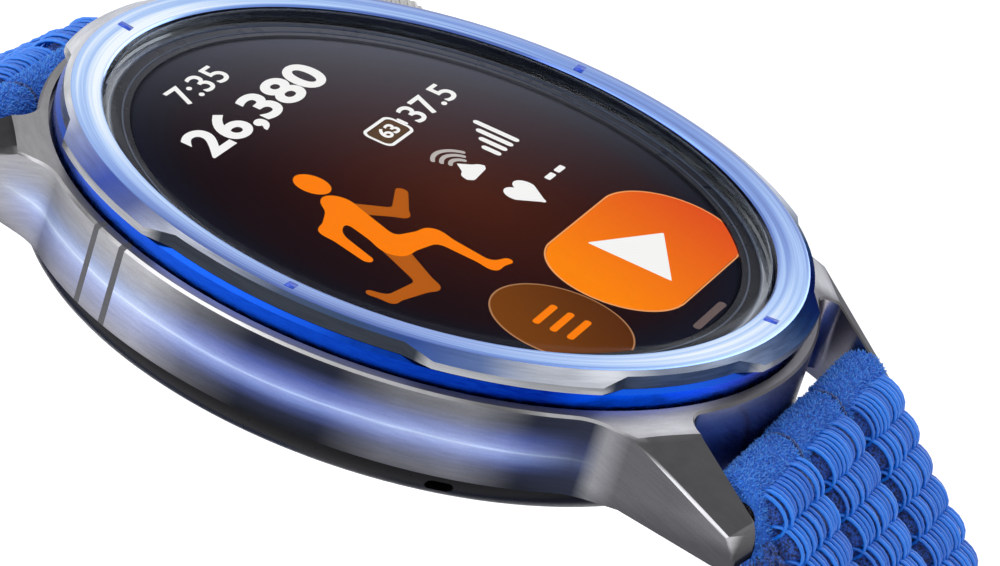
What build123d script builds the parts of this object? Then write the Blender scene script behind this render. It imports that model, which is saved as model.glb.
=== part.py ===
from build123d import *
import os
from math import asin, cos, degrees, hypot, radians, sin

# Round sports smartwatch with a woven two-part strap, in millimetres.
# +Z points out of the display, +Y towards 12 o'clock and +X towards 3 o'clock.
# The origin is the centre of the flat of the sensor window, the lowest face of the case back.

# ---- overall sizes ------------------------------------------------------
case_radius = 21.7
glass_top = 10.6               # height over all, from sensor window to cover glass
lug_gap = 21.2                 # clear width between a pair of lugs
running_clearance = 0.05       # round every shaft and pin
far = 60.0                     # larger than anything in the watch

# ---- case ---------------------------------------------------------------
case_wall = 2.7
case_bottom = 4.1
case_top = glass_top - 2.0     # shoulder height at the case edge
shoulder_rise = 0.25           # shoulder climbs this much per mm towards the middle
cavity_radius = case_radius - case_wall
seat_floor = case_top - 0.4    # floor of the groove that takes accent ring and bezel
lip_width = 0.55
lip_radius = case_radius - lip_width
edge_chamfer = 0.12

# ---- spring bars --------------------------------------------------------
sleeve_radius = 1.6            # strap sleeve round each bar
sleeve_clearance = 0.3         # strap sleeve to case side
bar_reach = case_radius + sleeve_clearance + sleeve_radius
bar_height = 4.65
bar_tube_radius = 0.9
bar_tube_wall = 0.3
bar_tube_bore = bar_tube_radius - bar_tube_wall
bar_tip_radius = 0.45
bar_tip_depth = 1.0            # how far a tip stands in its lug
bar_hole_depth = 1.3
bar_end_clearance = 0.3        # tube end to lug face
release_travel = 1.3
release_knob_radius = 0.55
release_knob_flange = 0.25
release_knob_length = 2.7
release_knob_inset = 4.2       # knob axis from the lug face
slot_clearance = 0.1           # knob to the slot in its tube
window_clearance = 0.6         # knob to the opening in the strap
spring_wire = 0.11
spring_turns = 8
spring_length = 4.0

# ---- lugs ---------------------------------------------------------------
lug_reach = bar_reach + 1.6    # inner tip, from the watch centre along Y
lug_tip_width = 1.85
lug_tip_skew = 0.6             # the outer tip corner lies this much nearer the middle
lug_root_width = 3.55
lug_root = (lug_gap / 2 + lug_root_width, case_radius - 3.25)
lug_fillet = 4.0
crotch_fillet = 1.1
facet_heights = (case_top - 0.45, case_top - 0.55, case_top - 4.05)
break_y = case_radius - 1.1
tip_chamfer = 0.32
lug_bottom_start = lug_root[1] - 0.05
lug_bottom_fall = 0.267
lug_tip_round = 1.6
lug_corner_round = 0.35
antenna_angles = (149.0, 155.0)
antenna_slot = 0.45
antenna_depth = 0.55

# ---- bezel stack --------------------------------------------------------
bezel_radius = case_radius - 0.3     # over the tabs
notch_radius = bezel_radius - 0.65
ring_outer = notch_radius - 0.32
ring_width = 1.78
ring_inner = ring_outer - ring_width
ring_floor = glass_top - 0.55
bezel_base = glass_top - 0.8
bezel_crown = glass_top + 0.1
tab_edge_top = glass_top - 0.45
notch_half_angles = {0: 18.5, 63: 11.0, 117: 11.0, 180: 18.5, 243: 11.0, 297: 11.0}
step_angle = 4.5               # sweep of each sloping step between tab and notch
skirt_radius = cavity_radius + 0.55
skirt_inner = ring_inner - 0.35
shelf_width = 0.7
shelf_inner = skirt_inner - shelf_width
accent_radius = notch_radius + 0.2
accent_inner = skirt_radius + 0.05
accent_chamfer = 0.25

# ---- glass and display --------------------------------------------------
glass_thickness = 1.2
glass_clearance = 0.05
glass_edge_round = 0.35
gasket_thickness = 0.2
gasket_width = 0.85
shelf_height = glass_top - glass_thickness - gasket_thickness
panel_radius = shelf_inner - 0.3
panel_thickness = 0.8
bracket_radius = panel_radius - 0.3
bracket_thickness = 0.3
flex_width = 5.0
flex_thickness = 0.15
flex_clearance = 0.3

# ---- back ---------------------------------------------------------------
back_radius = case_radius - 0.25
back_rim_width = 2.3
back_plate = 2.15              # outer face of the flat part
back_thickness = 0.95
back_floor = back_plate + back_thickness
back_clearance = 0.1
back_wall = 1.6
back_spigot_radius = cavity_radius - back_clearance
window_radius = 12.5
window_thickness = 1.0
window_flat_radius = 9.0
window_seat_clearance = 0.05
window_shelf = 0.35
dome_radius = window_radius + 3.0
dome_height = 0.35
seal_depth = 0.5               # groove depth in the back cover's spigot
screw_inset = 1.6
screw_circle = cavity_radius - screw_inset
screw_angles = (45, 135, 225, 315)
screw_shank = 0.5
screw_head = 1.0
screw_head_height = 0.6
screw_bite = 0.2               # how far each screw's tip stops short of its boss's middle
thread_clearance = 0.02
boss_radius = 1.5
boss_bottom = 5.1
boss_top = 6.9
mic_angle = 209.0
mic_slot = (1.5, 0.7)
mic_height = 3.3
speaker_slot_angles = (-6.0, 0.0, 6.0)
vent_angle = 115.0
electrode_radii = (9.6, 11.4)
electrode_span = 130.0
electrode_thickness = 0.6
led_size = (1.0, 1.0, 0.45)
photodiode_size = (1.6, 2.4, 0.4)

# ---- inside -------------------------------------------------------------
frame_radius = cavity_radius - 1.0
frame_bottom = back_floor + 0.2
ear_thickness = 0.6            # frame ears, screwed down on the case bosses
frame_top = boss_top + ear_thickness
frame_clearance = 0.3          # frame to the pieces it is cut away for
battery_size = (20.5, 19.0, 3.2)
battery_bottom = frame_bottom + 0.1
board_radius = cavity_radius - 3.4
board_bottom = boss_top
board_thickness = 0.6
shield_height = 0.55
coil_radii = (9.3, 12.0)
coil_bottom = 1.1
coil_thickness = 0.6
ferrite_thickness = 0.4
sensor_board_radius = 8.8
sensor_board_bottom = 1.6
sensor_board_thickness = 0.6
flex_outer_y = 2.0 - board_radius
haptic_size = (5.2, 11.0, 2.8)
haptic_centre = (-battery_size[0] / 2 - 3.35, 0.0, frame_bottom + 1.6)
haptic_wall = 0.25
haptic_mass_size = (4.2, 7.6, 1.5)
speaker_size = (4.2, 9.0, 2.6)
speaker_centre = (battery_size[0] / 2 + 2.85, 0.0, frame_bottom + 1.4)
key_flex_radius = cavity_radius - 3.0
key_flex_thickness = 0.2
key_tail_length = 1.3          # tail that plugs in at the main board's edge
key_height = 6.4               # height of crown and button axes
switch_clearance = 0.05        # left between a pressed key and its switch

# ---- crown --------------------------------------------------------------
crown_angle = 30.0
crown_radius = 3.2
crown_length = 2.3
crown_stand_off = 0.6          # gap between case side and the inside of the cap
crown_travel = 0.35
crown_ribs = 40
crown_rib_depth = 0.16
crown_shaft_radius = 1.1
crown_tube_wall = 0.35
crown_tube_radius = crown_shaft_radius + running_clearance + crown_tube_wall
back_spigot_top = key_height - crown_tube_radius - 0.05   # the spigot and its seal pass under the tube
collar_radius = 1.45
collar_thickness = 0.7
collar_neck = crown_shaft_radius - 0.4
flange_thickness = 0.4
o_ring_section = 0.16

# ---- side button --------------------------------------------------------
button_angle = -30.0
button_size = (9.0, 2.8)
button_proud = 1.0
button_travel = 0.3
button_clearance = 0.1
button_pocket_depth = 1.0
button_stem_radius = 0.7
button_pin_radius = 0.4
button_pin_offset = 3.0
button_pin_depth = 0.8
clip_radius = 1.25
clip_thickness = 0.35
clip_groove = 0.2

# ---- strap --------------------------------------------------------------
strap_side_clearance = 0.4     # strap edge to lug face
strap_width = lug_gap - 2 * strap_side_clearance
band_thickness = 2.6
strap_drop_angle = 45.0        # below level, where it leaves the lugs
strap_straight = 13.0
upper_arc = (20.0, 95.0)       # radius, turn
lower_arc = (34.0, 40.0)
short_tail = 0.6               # level run after the arcs
long_tail = 3.0
tab_side_margin = 1.7
tab_width = strap_width - 2 * tab_side_margin
tab_thickness = 1.0
tab_anchor = 6.0               # length stitched to the inner face
tab_return = 22.0              # length lying on the outer face
loop_wire = 1.1
loop_sleeve_wall = 1.2
loop_sleeve_radius = loop_wire + loop_sleeve_wall
loop_inner_width = strap_width + 1.2
loop_length = 9.0              # between the two long bars, axis to axis
loop_corner = 1.5


# ---- helpers ------------------------------------------------------------
def cyl(radius, low, high, x=0.0, y=0.0):
    return Pos(x, y, (low + high) / 2) * Cylinder(radius, high - low)


def tube(outer, inner, low, high):
    return cyl(outer, low, high) - cyl(inner, low - 1, high + 1)


def block(x0, x1, y0, y1, z0, z1):
    return Pos((x0 + x1) / 2, (y0 + y1) / 2, (z0 + z1) / 2) * Box(x1 - x0, y1 - y0, z1 - z0)


def centred_block(size, centre):
    return Pos(*centre) * Box(*size)


def rod(radius, x0, x1, y=0.0, z=0.0):
    return Pos((x0 + x1) / 2, y, z) * Rot(0, 90, 0) * Cylinder(radius, x1 - x0)


def turned(points):
    return revolve(Plane.XZ * make_face(Polyline(points, close=True)), Axis.Z)


def about_z(angle, shape):
    return Rot(0, 0, angle) * shape


def polar(radius, angle):
    return radius * cos(radians(angle)), radius * sin(radians(angle))


def sector(radius, start, end):
    """Flat wedge of a disc between two angles, for cutting arcs out of rings."""
    middle = polar(radius * 1.5, (start + end) / 2)
    outline = [(0, 0), polar(radius * 1.5, start), middle, polar(radius * 1.5, end)]
    return make_face(Polyline(outline, close=True))


def beyond_plane(point, normal):
    return Plane(origin=point, z_dir=normal) * Pos(0, 0, far / 2) * Box(far, far, far)


def four_ways(shape):
    pair = shape + mirror(shape, Plane.YZ)
    return pair + mirror(pair, Plane.XZ)


def shoulder_height(radius):
    return case_top + shoulder_rise * (case_radius - radius)


def coil_spring(radius, wire, height, turns):
    path = Helix(height / turns, height, radius)
    section = Plane(path @ 0, z_dir=path % 0) * Circle(wire)
    return sweep(section, path=path)


# ---- case and lugs ------------------------------------------------------
def lug_tip_corner():
    return lug_gap / 2 + lug_tip_width, -lug_reach + lug_tip_skew


def facet_plane():
    inner, outer, tip = facet_heights
    a = Vector(lug_gap / 2, -break_y, inner)
    b = Vector(lug_root[0], -lug_root[1], outer)
    c = Vector(lug_gap / 2, -lug_reach, tip)
    normal = (c - a).cross(b - a).normalized()
    return a, normal if normal.Z > 0 else normal * -1


def near(vertex, others):
    return any(hypot(vertex.X - o.X, vertex.Y - o.Y) < 0.01 for o in others)


def case_plan():
    """Outline of the case and its four lugs, seen from above."""
    half = lug_gap / 2
    tip_x, tip_y = lug_tip_corner()
    lean = (lug_root[0] - tip_x) / (tip_y + lug_root[1])
    buried_y = -0.35 * case_radius
    buried_x = tip_x - lean * (buried_y - tip_y)
    outline = [(half, buried_y), (half, -lug_reach), (tip_x, tip_y), (buried_x, buried_y)]
    lug = make_face(Polyline(outline, close=True))
    lug = fillet(lug.vertices().sort_by(Axis.Y)[0:2], lug_corner_round)
    plan = Circle(case_radius) + four_ways(lug)
    on_rim = [v for v in plan.vertices() if abs(hypot(v.X, v.Y) - case_radius) < 0.01]
    outer = [v for v in on_rim if abs(v.X) > half + 0.5]
    plan = fillet([v for v in on_rim if not near(v, outer)], crotch_fillet)
    return fillet([v for v in plan.vertices() if near(v, outer)], lug_fillet)


def lug_side_profile():
    """Everything above the underside of the lugs, which fall towards their tips."""
    end = lug_reach + 0.3
    tip_low = case_bottom - lug_bottom_fall * (end - lug_bottom_start)
    outline = [(0, case_top), (-end, case_top), (-end, tip_low), (-lug_bottom_start, case_bottom), (0, case_bottom)]
    face = make_face(Polyline(outline, close=True))
    lowest = face.vertices().sort_by(Axis.Y)[0]
    face = fillet(lowest, lug_tip_round)
    return extrude(Plane.YZ * (face + mirror(face, Plane.YZ)), far / 2, both=True)


def case_blank():
    """Case ring and lugs before anything is bored out of them."""
    plan = case_plan()
    half = lug_gap / 2
    blank = extrude(Pos(0, 0, case_bottom) * plan, case_top - case_bottom + 2)
    lug_low = extrude(plan - Circle(back_radius + back_clearance), case_bottom) & lug_side_profile()
    blank += lug_low & (block(half - 0.01, far, -far, far, -far, far) + block(-far, 0.01 - half, -far, far, -far, far))
    rim = [(case_radius - 2, shoulder_height(case_radius - 2)), (lug_reach + 10, shoulder_height(lug_reach + 10))]
    blank -= turned(rim + [(lug_reach + 10, far), (case_radius - 2, far)])
    point, normal = facet_plane()
    tip = Vector(half, -lug_reach, facet_heights[2])
    end_normal = Vector(lug_tip_skew, -lug_tip_width, 0).normalized()
    chamfer_normal = (normal + end_normal).normalized()
    facets = beyond_plane(point, normal) + beyond_plane(tip - chamfer_normal * tip_chamfer, chamfer_normal)
    blank -= four_ways(facets & block(half - 0.8, far, -far, -0.7 * case_radius, 0, far))
    outline = plan.faces()[0].outer_wire()
    return chamfer([e for e in blank.edges() if is_upper_rim(e, outline)], edge_chamfer)


def is_upper_rim(edge, outline):
    middle, start, end = edge.position_at(0.5), edge.position_at(0), edge.position_at(1)
    upright = hypot(start.X - end.X, start.Y - end.Y) < 0.05 and edge.length < case_top
    if upright or edge.length < 0.2 or middle.Z < case_bottom + 0.4:
        return False
    return outline.distance_to(Vertex(middle.X, middle.Y, 0)) < 0.01


def screw_bosses():
    bosses = Part()
    for angle in screw_angles:
        web = block(screw_circle, cavity_radius + 0.3, -boss_radius, boss_radius, boss_bottom, boss_top)
        bosses += about_z(angle, cyl(boss_radius, boss_bottom, boss_top, screw_circle) + web)
    return bosses


def at_screws(shape):
    group = Part()
    for angle in screw_angles:
        group += about_z(angle, Pos(screw_circle, 0, 0) * shape)
    return group


def antenna_slots():
    slots = Part()
    half = antenna_slot / 2
    for angle in antenna_angles:
        slots += about_z(angle, block(case_radius - antenna_depth, case_radius + 1, -half, half, 0, case_top + 1))
    return slots


def bored(blank):
    case = blank - cyl(cavity_radius, 0, seat_floor + 1) - cyl(lip_radius, seat_floor, far)
    case += screw_bosses()
    case -= at_screws(cyl(screw_shank + thread_clearance, 0, far / 4))
    hole = rod(bar_tip_radius + running_clearance, lug_gap / 2 - 1, lug_gap / 2 + bar_hole_depth, -bar_reach, bar_height)
    case -= four_ways(hole)
    case -= about_z(crown_angle, rod(crown_tube_radius, cavity_radius - 1, far / 2, 0, key_height))
    return case - about_z(button_angle, button_cavity())


# ---- bezel, rings, glass and display ------------------------------------
def bezel_plan():
    """Bezel outline from above: six tabs with sloping steps down to the notches."""
    points = []
    for centre, half_width in sorted(notch_half_angles.items()):
        for edge in (-1, 1):
            foot = centre + edge * half_width
            shoulder = centre + edge * (half_width + step_angle)
            points.append((foot, shoulder) if edge > 0 else (shoulder, foot))
    edges = []
    count = len(points)
    for i, (first, second) in enumerate(points):
        rising = i % 2 == 1
        r0, r1 = (notch_radius, bezel_radius) if rising else (bezel_radius, notch_radius)
        start, end = polar(r0, first), polar(r1, second)
        edges.append(Line(start, end))
        next_angle = points[(i + 1) % count][0] + (360 if i == count - 1 else 0)
        middle = polar(r1, (second + next_angle) / 2)
        edges.append(ThreePointArc(end, middle, polar(r1, next_angle)))
    return make_face(edges)


def make_bezel():
    section = [
        (shelf_inner, shelf_height), (ring_inner, shelf_height), (ring_inner, ring_floor),
        (ring_outer, ring_floor), (ring_outer, bezel_crown), (bezel_radius + 0.1, tab_edge_top),
        (bezel_radius + 0.1, bezel_base), (skirt_radius, bezel_base), (skirt_radius, seat_floor),
        (skirt_inner, seat_floor), (shelf_inner, seat_floor + skirt_inner - shelf_inner),
    ]
    return turned(section) & extrude(bezel_plan(), far)


def make_bezel_inner_ring():
    return turned([
        (ring_inner, ring_floor), (ring_outer, ring_floor), (ring_outer, bezel_crown),
        (ring_outer - 0.12, bezel_crown + 0.03), (ring_inner + 0.1, glass_top), (ring_inner, glass_top - 0.1),
    ])


def make_accent_ring():
    return turned([
        (accent_inner, seat_floor), (accent_radius, seat_floor), (accent_radius, bezel_base - accent_chamfer),
        (accent_radius - accent_chamfer, bezel_base), (accent_inner, bezel_base),
    ])


def make_cover_glass():
    disc = cyl(ring_inner - glass_clearance, glass_top - glass_thickness, glass_top)
    return fillet(disc.edges().sort_by(Axis.Z)[-1], glass_edge_round)


def make_glass_gasket():
    outer = ring_inner - glass_clearance
    return tube(outer, outer - gasket_width, shelf_height, glass_top - glass_thickness)


def make_display_panel():
    top = glass_top - glass_thickness
    return cyl(panel_radius, top - panel_thickness, top)


def make_display_bracket():
    top = glass_top - glass_thickness - panel_thickness
    plate = cyl(bracket_radius, top - bracket_thickness, top)
    return plate - block(-flex_width / 2 - 0.5, flex_width / 2 + 0.5, bracket_radius - 2.5, far, 0, far)


def make_display_flex():
    """Flexible tail from the panel's underside down to the main board."""
    top = glass_top - glass_thickness - panel_thickness
    y = bracket_radius - 1.6
    board_top = board_bottom + board_thickness
    tail = block(-flex_width / 2, flex_width / 2, y, y + flex_thickness, board_top, top)
    foot = block(-flex_width / 2, flex_width / 2, y - 2.5, y + flex_thickness, board_top, board_top + flex_thickness)
    return tail + foot


# ---- back ---------------------------------------------------------------
def back_outline_face():
    """Half section of the back cover: rim curve, flat plate, dome and window seat."""
    rim_top = (back_radius, case_bottom)
    plate_edge = (back_radius - back_rim_width, back_plate)
    dome_foot = (dome_radius, back_plate)
    dome_lip = (window_radius + 0.6, dome_height)
    hole = window_radius + window_seat_clearance
    seat = (hole, window_thickness)
    shelf = (window_radius - window_shelf, window_thickness)
    edges = [
        ThreePointArc(rim_top, (back_radius - 0.55, back_plate + 0.75), plate_edge),
        Line(plate_edge, dome_foot),
        ThreePointArc(dome_foot, (dome_radius - 1.0, (back_plate + dome_height) / 2 - 0.25), dome_lip),
        Polyline(dome_lip, (hole, dome_height), seat, shelf, (shelf[0], back_floor)),
        Polyline((shelf[0], back_floor), (back_spigot_radius - back_wall, back_floor)),
        Polyline((back_spigot_radius - back_wall, back_floor), (back_spigot_radius - back_wall, back_spigot_top),
                 (back_spigot_radius, back_spigot_top), (back_spigot_radius, case_bottom), rim_top),
    ]
    return make_face(edges)


def make_back_cover():
    cover = revolve(Plane.XZ * back_outline_face(), Axis.Z)
    cover -= at_screws(cyl(screw_shank + back_clearance, 0, far))
    cover -= at_screws(cyl(boss_radius + back_clearance, boss_bottom - 0.05, far))
    cover -= at_screws(cyl(screw_head + back_clearance, 0, back_plate + back_clearance + screw_head_height))
    for angle in (mic_angle, vent_angle, *speaker_slot_angles):
        cover -= about_z(angle, Pos(back_spigot_radius - 3, 0, mic_height) * pill(*mic_slot, 6))
    groove = tube(cavity_radius, back_spigot_radius - seal_depth, seal_bottom(), far)
    return cover - groove


def seal_bottom():
    return case_bottom + 0.05


def pill(length, height, depth):
    return extrude(Plane.YZ * SlotOverall(length, height), depth)


def make_back_seal():
    return tube(cavity_radius, back_spigot_radius - seal_depth, seal_bottom(), back_spigot_top)


def make_sensor_window():
    hollow = electrode_thickness
    section = make_face([
        Line((0, 0), (window_flat_radius, 0)),
        ThreePointArc((window_flat_radius, 0), (window_radius - 1.5, 0.1), (window_radius, dome_height)),
        Polyline((window_radius, dome_height), (window_radius, window_thickness), (0, window_thickness), (0, 0)),
    ])
    window = revolve(Plane.XZ * section, Axis.Z)
    return window - electrode_arcs(0.02, -0.1, hollow)


def electrode_arcs(gap, low, high):
    ring = tube(electrode_radii[1] + gap, electrode_radii[0] - gap, low, high)
    arcs = Part()
    for middle in (0, 180):
        half = electrode_span / 2 + gap * 5
        wedge = sector(window_radius, middle - half, middle + half)
        arcs += ring & extrude(Pos(0, 0, low - 1) * wedge, high - low + 2)
    return arcs


def make_electrodes():
    return electrode_arcs(0.0, 0.02, electrode_thickness)


def make_screw(head_low, tip_high, head_up=False):
    """Pan screw along Z with a cross slot; its head is at the low end unless head_up."""
    length = tip_high - head_low
    head = cyl(screw_head, 0, screw_head_height)
    head -= block(-0.6, 0.6, -0.13, 0.13, -1, 0.3) + block(-0.13, 0.13, -0.6, 0.6, -1, 0.3)
    screw = head + cyl(screw_shank, screw_head_height, length)
    return Pos(0, 0, tip_high) * Rot(180, 0, 0) * screw if head_up else Pos(0, 0, head_low) * screw


def make_back_screws():
    return at_screws(make_screw(back_plate + back_clearance, (boss_bottom + boss_top) / 2 - screw_bite))


def make_frame_screws():
    return at_screws(make_screw((boss_bottom + boss_top) / 2 + screw_bite, frame_top + screw_head_height, head_up=True))


# ---- inside -------------------------------------------------------------
def make_inner_frame():
    gap = frame_clearance
    frame = cyl(frame_radius, frame_bottom, frame_top)
    frame += at_screws(cyl(boss_radius, boss_top, frame_top)) & cyl(cavity_radius - 0.1, 0, far)
    frame -= cyl(board_radius + 0.2, board_bottom, far)
    length, width, height = battery_size
    frame -= centred_block((length + 2 * gap, width + 2 * gap, far), (0, 0, 0))
    frame -= at_screws(cyl(boss_radius + gap, 0, boss_top))
    frame -= at_screws(cyl(screw_shank + back_clearance, 0, far))
    for angle in screw_angles:
        frame -= about_z(angle, block(screw_circle, far, -boss_radius - gap, boss_radius + gap, 0, boss_top))
    ceiling = board_bottom - 0.4
    haptic_half = haptic_size[1] / 2 + 0.2
    frame -= block(-far, -length / 2, -haptic_half, haptic_half, 0, ceiling)
    speaker_half = speaker_size[1] / 2 + 0.2
    frame -= block(length / 2, far, -speaker_half, speaker_half, 0, ceiling)
    key_zone = extrude(sector(far, crown_angle + 18, button_angle - 18), far)
    frame -= key_zone & tube(far, key_flex_radius - key_tail_length - 0.3, 0, far)
    frame -= tube(far, back_spigot_radius - back_wall - back_clearance, 0, back_spigot_top + 0.2)
    for angle in (mic_angle, vent_angle):
        frame -= about_z(angle, block(back_spigot_radius - back_wall - 3.3, far, -2, 2, 0, back_spigot_top + gap))
    half = flex_width / 2 + flex_clearance
    return frame - block(-half, half, -far, -width / 2, 0, board_bottom)


def make_battery():
    cell = centred_block(battery_size, (0, 0, battery_bottom + battery_size[2] / 2))
    return fillet(cell.edges().filter_by(Axis.Z), 1.5)


def make_main_board():
    board = cyl(board_radius, board_bottom, board_bottom + board_thickness)
    half = flex_width / 2 + flex_clearance
    board -= block(-half, half, -far, flex_outer_y + flex_thickness + 0.25, 0, far)
    key_zone = extrude(sector(far, crown_angle + 12, button_angle - 12), far)
    return board - (key_zone - cyl(key_flex_radius - key_tail_length - 0.9, 0, far))


def make_board_shields():
    base = board_bottom + board_thickness
    shields = Part()
    for x0, x1, y0, y1 in ((-12, -1, -5, 7), (0, 9, -6, 2), (1, 8, 4, 11)):
        can = block(x0, x1, y0, y1, base, base + shield_height)
        shields += fillet(can.edges().filter_by(Axis.Z), 0.6)
    return shields


def make_haptic_housing():
    shell = centred_block(haptic_size, haptic_centre)
    inside = tuple(s - 2 * haptic_wall for s in haptic_size)
    return fillet(shell.edges().filter_by(Axis.Z), 0.5) - centred_block(inside, haptic_centre)


def make_haptic_mass():
    x, y, z = haptic_centre
    return centred_block(haptic_mass_size, (x, y, z + 0.25))


def make_haptic_coil():
    x, y, z = haptic_centre
    floor = z - haptic_size[2] / 2 + haptic_wall
    coil = extrude(Pos(x, y, floor) * Rot(0, 0, 90) * SlotOverall(6.0, 3.0), 0.35)
    return coil - extrude(Pos(x, y, floor) * Rot(0, 0, 90) * SlotOverall(3.6, 1.2), 0.35)


def make_speaker():
    box = fillet(centred_block(speaker_size, speaker_centre).edges().filter_by(Axis.Z), 0.6)
    x, y, z = speaker_centre
    front = x + speaker_size[0] / 2
    snout_top = mic_height + 1.0
    low = back_floor + 0.1
    snout = block(front - 0.5, far, -3.4, 3.4, low, snout_top) & cyl(back_spigot_radius - back_wall - 0.05, 0, far)
    duct = block(front + 0.1, far, -2.8, 2.8, low + 0.2, snout_top - 0.2)
    return box + snout - duct


def make_microphone():
    radius = back_spigot_radius - back_wall
    return about_z(mic_angle, block(radius - 1.5, radius - 0.25, -1.2, 1.2, back_floor, back_floor + 1.6))


def make_mic_mesh():
    radius = back_spigot_radius - back_wall
    return about_z(mic_angle, Pos(radius - 0.2, 0, mic_height + 0.35) * pill(2.2, 1.1, 0.15))


def make_pressure_sensor():
    x = back_spigot_radius - back_wall - 1.6
    body = cyl(1.3, back_floor, back_floor + 1.0, x) - cyl(0.5, back_floor + 0.8, far, x)
    return about_z(vent_angle, body)


def make_charging_coil():
    return tube(coil_radii[1], coil_radii[0], coil_bottom, coil_bottom + coil_thickness)


def make_ferrite_sheet():
    low = coil_bottom + coil_thickness
    return tube(coil_radii[1], coil_radii[0], low, low + ferrite_thickness)


def make_sensor_board():
    low = sensor_board_bottom
    return cyl(sensor_board_radius, low, low + sensor_board_thickness)


def ring_of_chips(count, radius, size, start):
    chips = Part()
    for i in range(count):
        chip = centred_block(size, (radius, 0, sensor_board_bottom - size[2] / 2))
        chips += about_z(start + 360 * i / count, chip)
    return chips


def make_sensor_leds():
    centre = centred_block(led_size, (0, 0, sensor_board_bottom - led_size[2] / 2))
    return centre + ring_of_chips(4, 3.0, led_size, 45)


def make_photodiodes():
    return ring_of_chips(8, 6.3, photodiode_size, 0)


def make_sensor_flex():
    """Strip from the sensor board, out past the battery and up to the main board."""
    half = flex_width / 2
    low = sensor_board_bottom + sensor_board_thickness
    y_out = flex_outer_y
    run = block(-half, half, y_out, 0, back_floor + 0.05, back_floor + 0.05 + flex_thickness)
    run &= block(-half, half, y_out, -sensor_board_radius + 2.6, 0, far)
    step = block(-half, half, -sensor_board_radius + 2.4, -sensor_board_radius + 2.6, low, back_floor + 0.2)
    rise = block(-half, half, y_out, y_out + flex_thickness, back_floor + 0.05, board_bottom + board_thickness)
    return run + step + rise


def make_key_flex():
    outer = key_flex_radius + key_flex_thickness
    shell = tube(outer, key_flex_radius, key_height - 1.3, key_height + 0.5)
    strip = shell & extrude(sector(far, crown_angle + 10, button_angle - 10), far)
    inner = key_flex_radius - key_tail_length
    return strip + block(inner, outer - 0.05, -2, 2, key_height + 0.3, key_height + 0.5)


def key_switch(angle, plunger_end, travel):
    """Switch on the key flex, just short of the inner end of its key's plunger when pressed."""
    seat = key_flex_radius + key_flex_thickness
    reach = plunger_end - travel - switch_clearance - seat
    body = block(seat, seat + reach - 0.3, -1.2, 1.2, key_height - 0.9, key_height + 0.9)
    dome = rod(0.5, seat + reach - 0.3, seat + reach, 0, key_height)
    return about_z(angle, body + dome)


# ---- crown --------------------------------------------------------------
def crown_part(shape):
    return about_z(crown_angle, Pos(0, 0, key_height) * shape)


def crown_base():
    return case_radius + crown_stand_off


def make_crown_tube():
    return crown_part(rod(crown_tube_radius, cavity_radius - 0.4, case_radius + 0.15)
                      - rod(crown_shaft_radius + running_clearance, 0, far))


def make_crown_cap():
    start = crown_base()
    cap = rod(crown_radius, start, start + crown_length)
    cap = chamfer(cap.edges().filter_by(GeomType.CIRCLE), 0.3)
    for i in range(crown_ribs):
        angle = 360 * i / crown_ribs
        groove = Rot(angle, 0, 0) * rod(crown_rib_depth, start - 1, start + crown_length + 1, crown_radius, 0)
        cap -= groove
    cap -= rod(crown_radius - 0.9, start + crown_length - 0.12, far) - rod(crown_radius - 1.25, 0, far)
    return crown_part(cap - rod(crown_shaft_radius, start - 1, start + 1.2))


def crown_collar_start():
    return cavity_radius - 0.4 - collar_thickness - 0.3


def make_crown_shaft():
    collar = crown_collar_start()
    shaft = rod(crown_shaft_radius, crown_flange_start(), crown_base() + 1.2)
    neck_end = collar + collar_thickness + 0.05
    shaft -= rod(far, collar - 0.05, neck_end) - rod(collar_neck, 0, far)
    return crown_part(shaft - o_ring_groove(o_ring_place(), crown_shaft_radius))


def crown_flange_start():
    return crown_collar_start() - 0.05 - flange_thickness


def o_ring_place():
    return (cavity_radius + case_radius) / 2


def o_ring_groove(place, radius):
    groove = rod(far, place - o_ring_section, place + o_ring_section)
    return groove - rod(radius - 2 * o_ring_section + 0.02, 0, far)


def o_ring_at(place, radius):
    ring = Torus(radius - o_ring_section + 0.02, o_ring_section - 0.01)
    return Pos(place, 0, 0) * Rot(0, 90, 0) * ring


def make_crown_collar():
    start = crown_collar_start()
    ring = rod(collar_radius, start, start + collar_thickness)
    return crown_part(ring - rod(collar_neck + running_clearance, 0, far))


def make_crown_encoder():
    low = collar_radius + 0.25
    start = key_flex_radius + key_flex_thickness - 0.08
    return crown_part(block(start, crown_collar_start() + 0.6, low, low + 0.95, -0.5, 0.5))


# ---- side button --------------------------------------------------------
def button_cavity():
    """Pocket in the case side, with the stem and guide pin bores in its floor."""
    length, height = button_size
    floor = case_radius - button_pocket_depth
    wide = Pos(floor, 0, key_height) * pill(length + 2 * button_clearance, height + 2 * button_clearance, far / 4)
    bore = rod(button_stem_radius + running_clearance, cavity_radius - 1, far / 2, 0, key_height)
    pins = Part()
    for y in (-button_pin_offset, button_pin_offset):
        pins += rod(button_pin_radius + running_clearance, floor - button_pin_depth, far / 2, y, key_height)
    return wide + bore + pins


def make_button_cap():
    length, height = button_size
    floor = case_radius - button_pocket_depth
    start = floor + button_travel + 0.1
    body = Pos(start, 0, key_height) * pill(length, height, far / 4)
    body &= cyl(case_radius + button_proud, 0, far)
    top_edges = [e for e in body.edges() if hypot(e.center().X, e.center().Y) > case_radius + button_proud - 0.35]
    body = fillet(top_edges, 0.3)
    for y in (-button_pin_offset, button_pin_offset):
        body += rod(button_pin_radius, floor - button_pin_depth + button_travel + 0.1, start + 0.2, y, key_height)
    return about_z(button_angle, body - rod(button_stem_radius, 0, start + 0.7, 0, key_height))


def button_stem_end():
    return cavity_radius - 1.35


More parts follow.
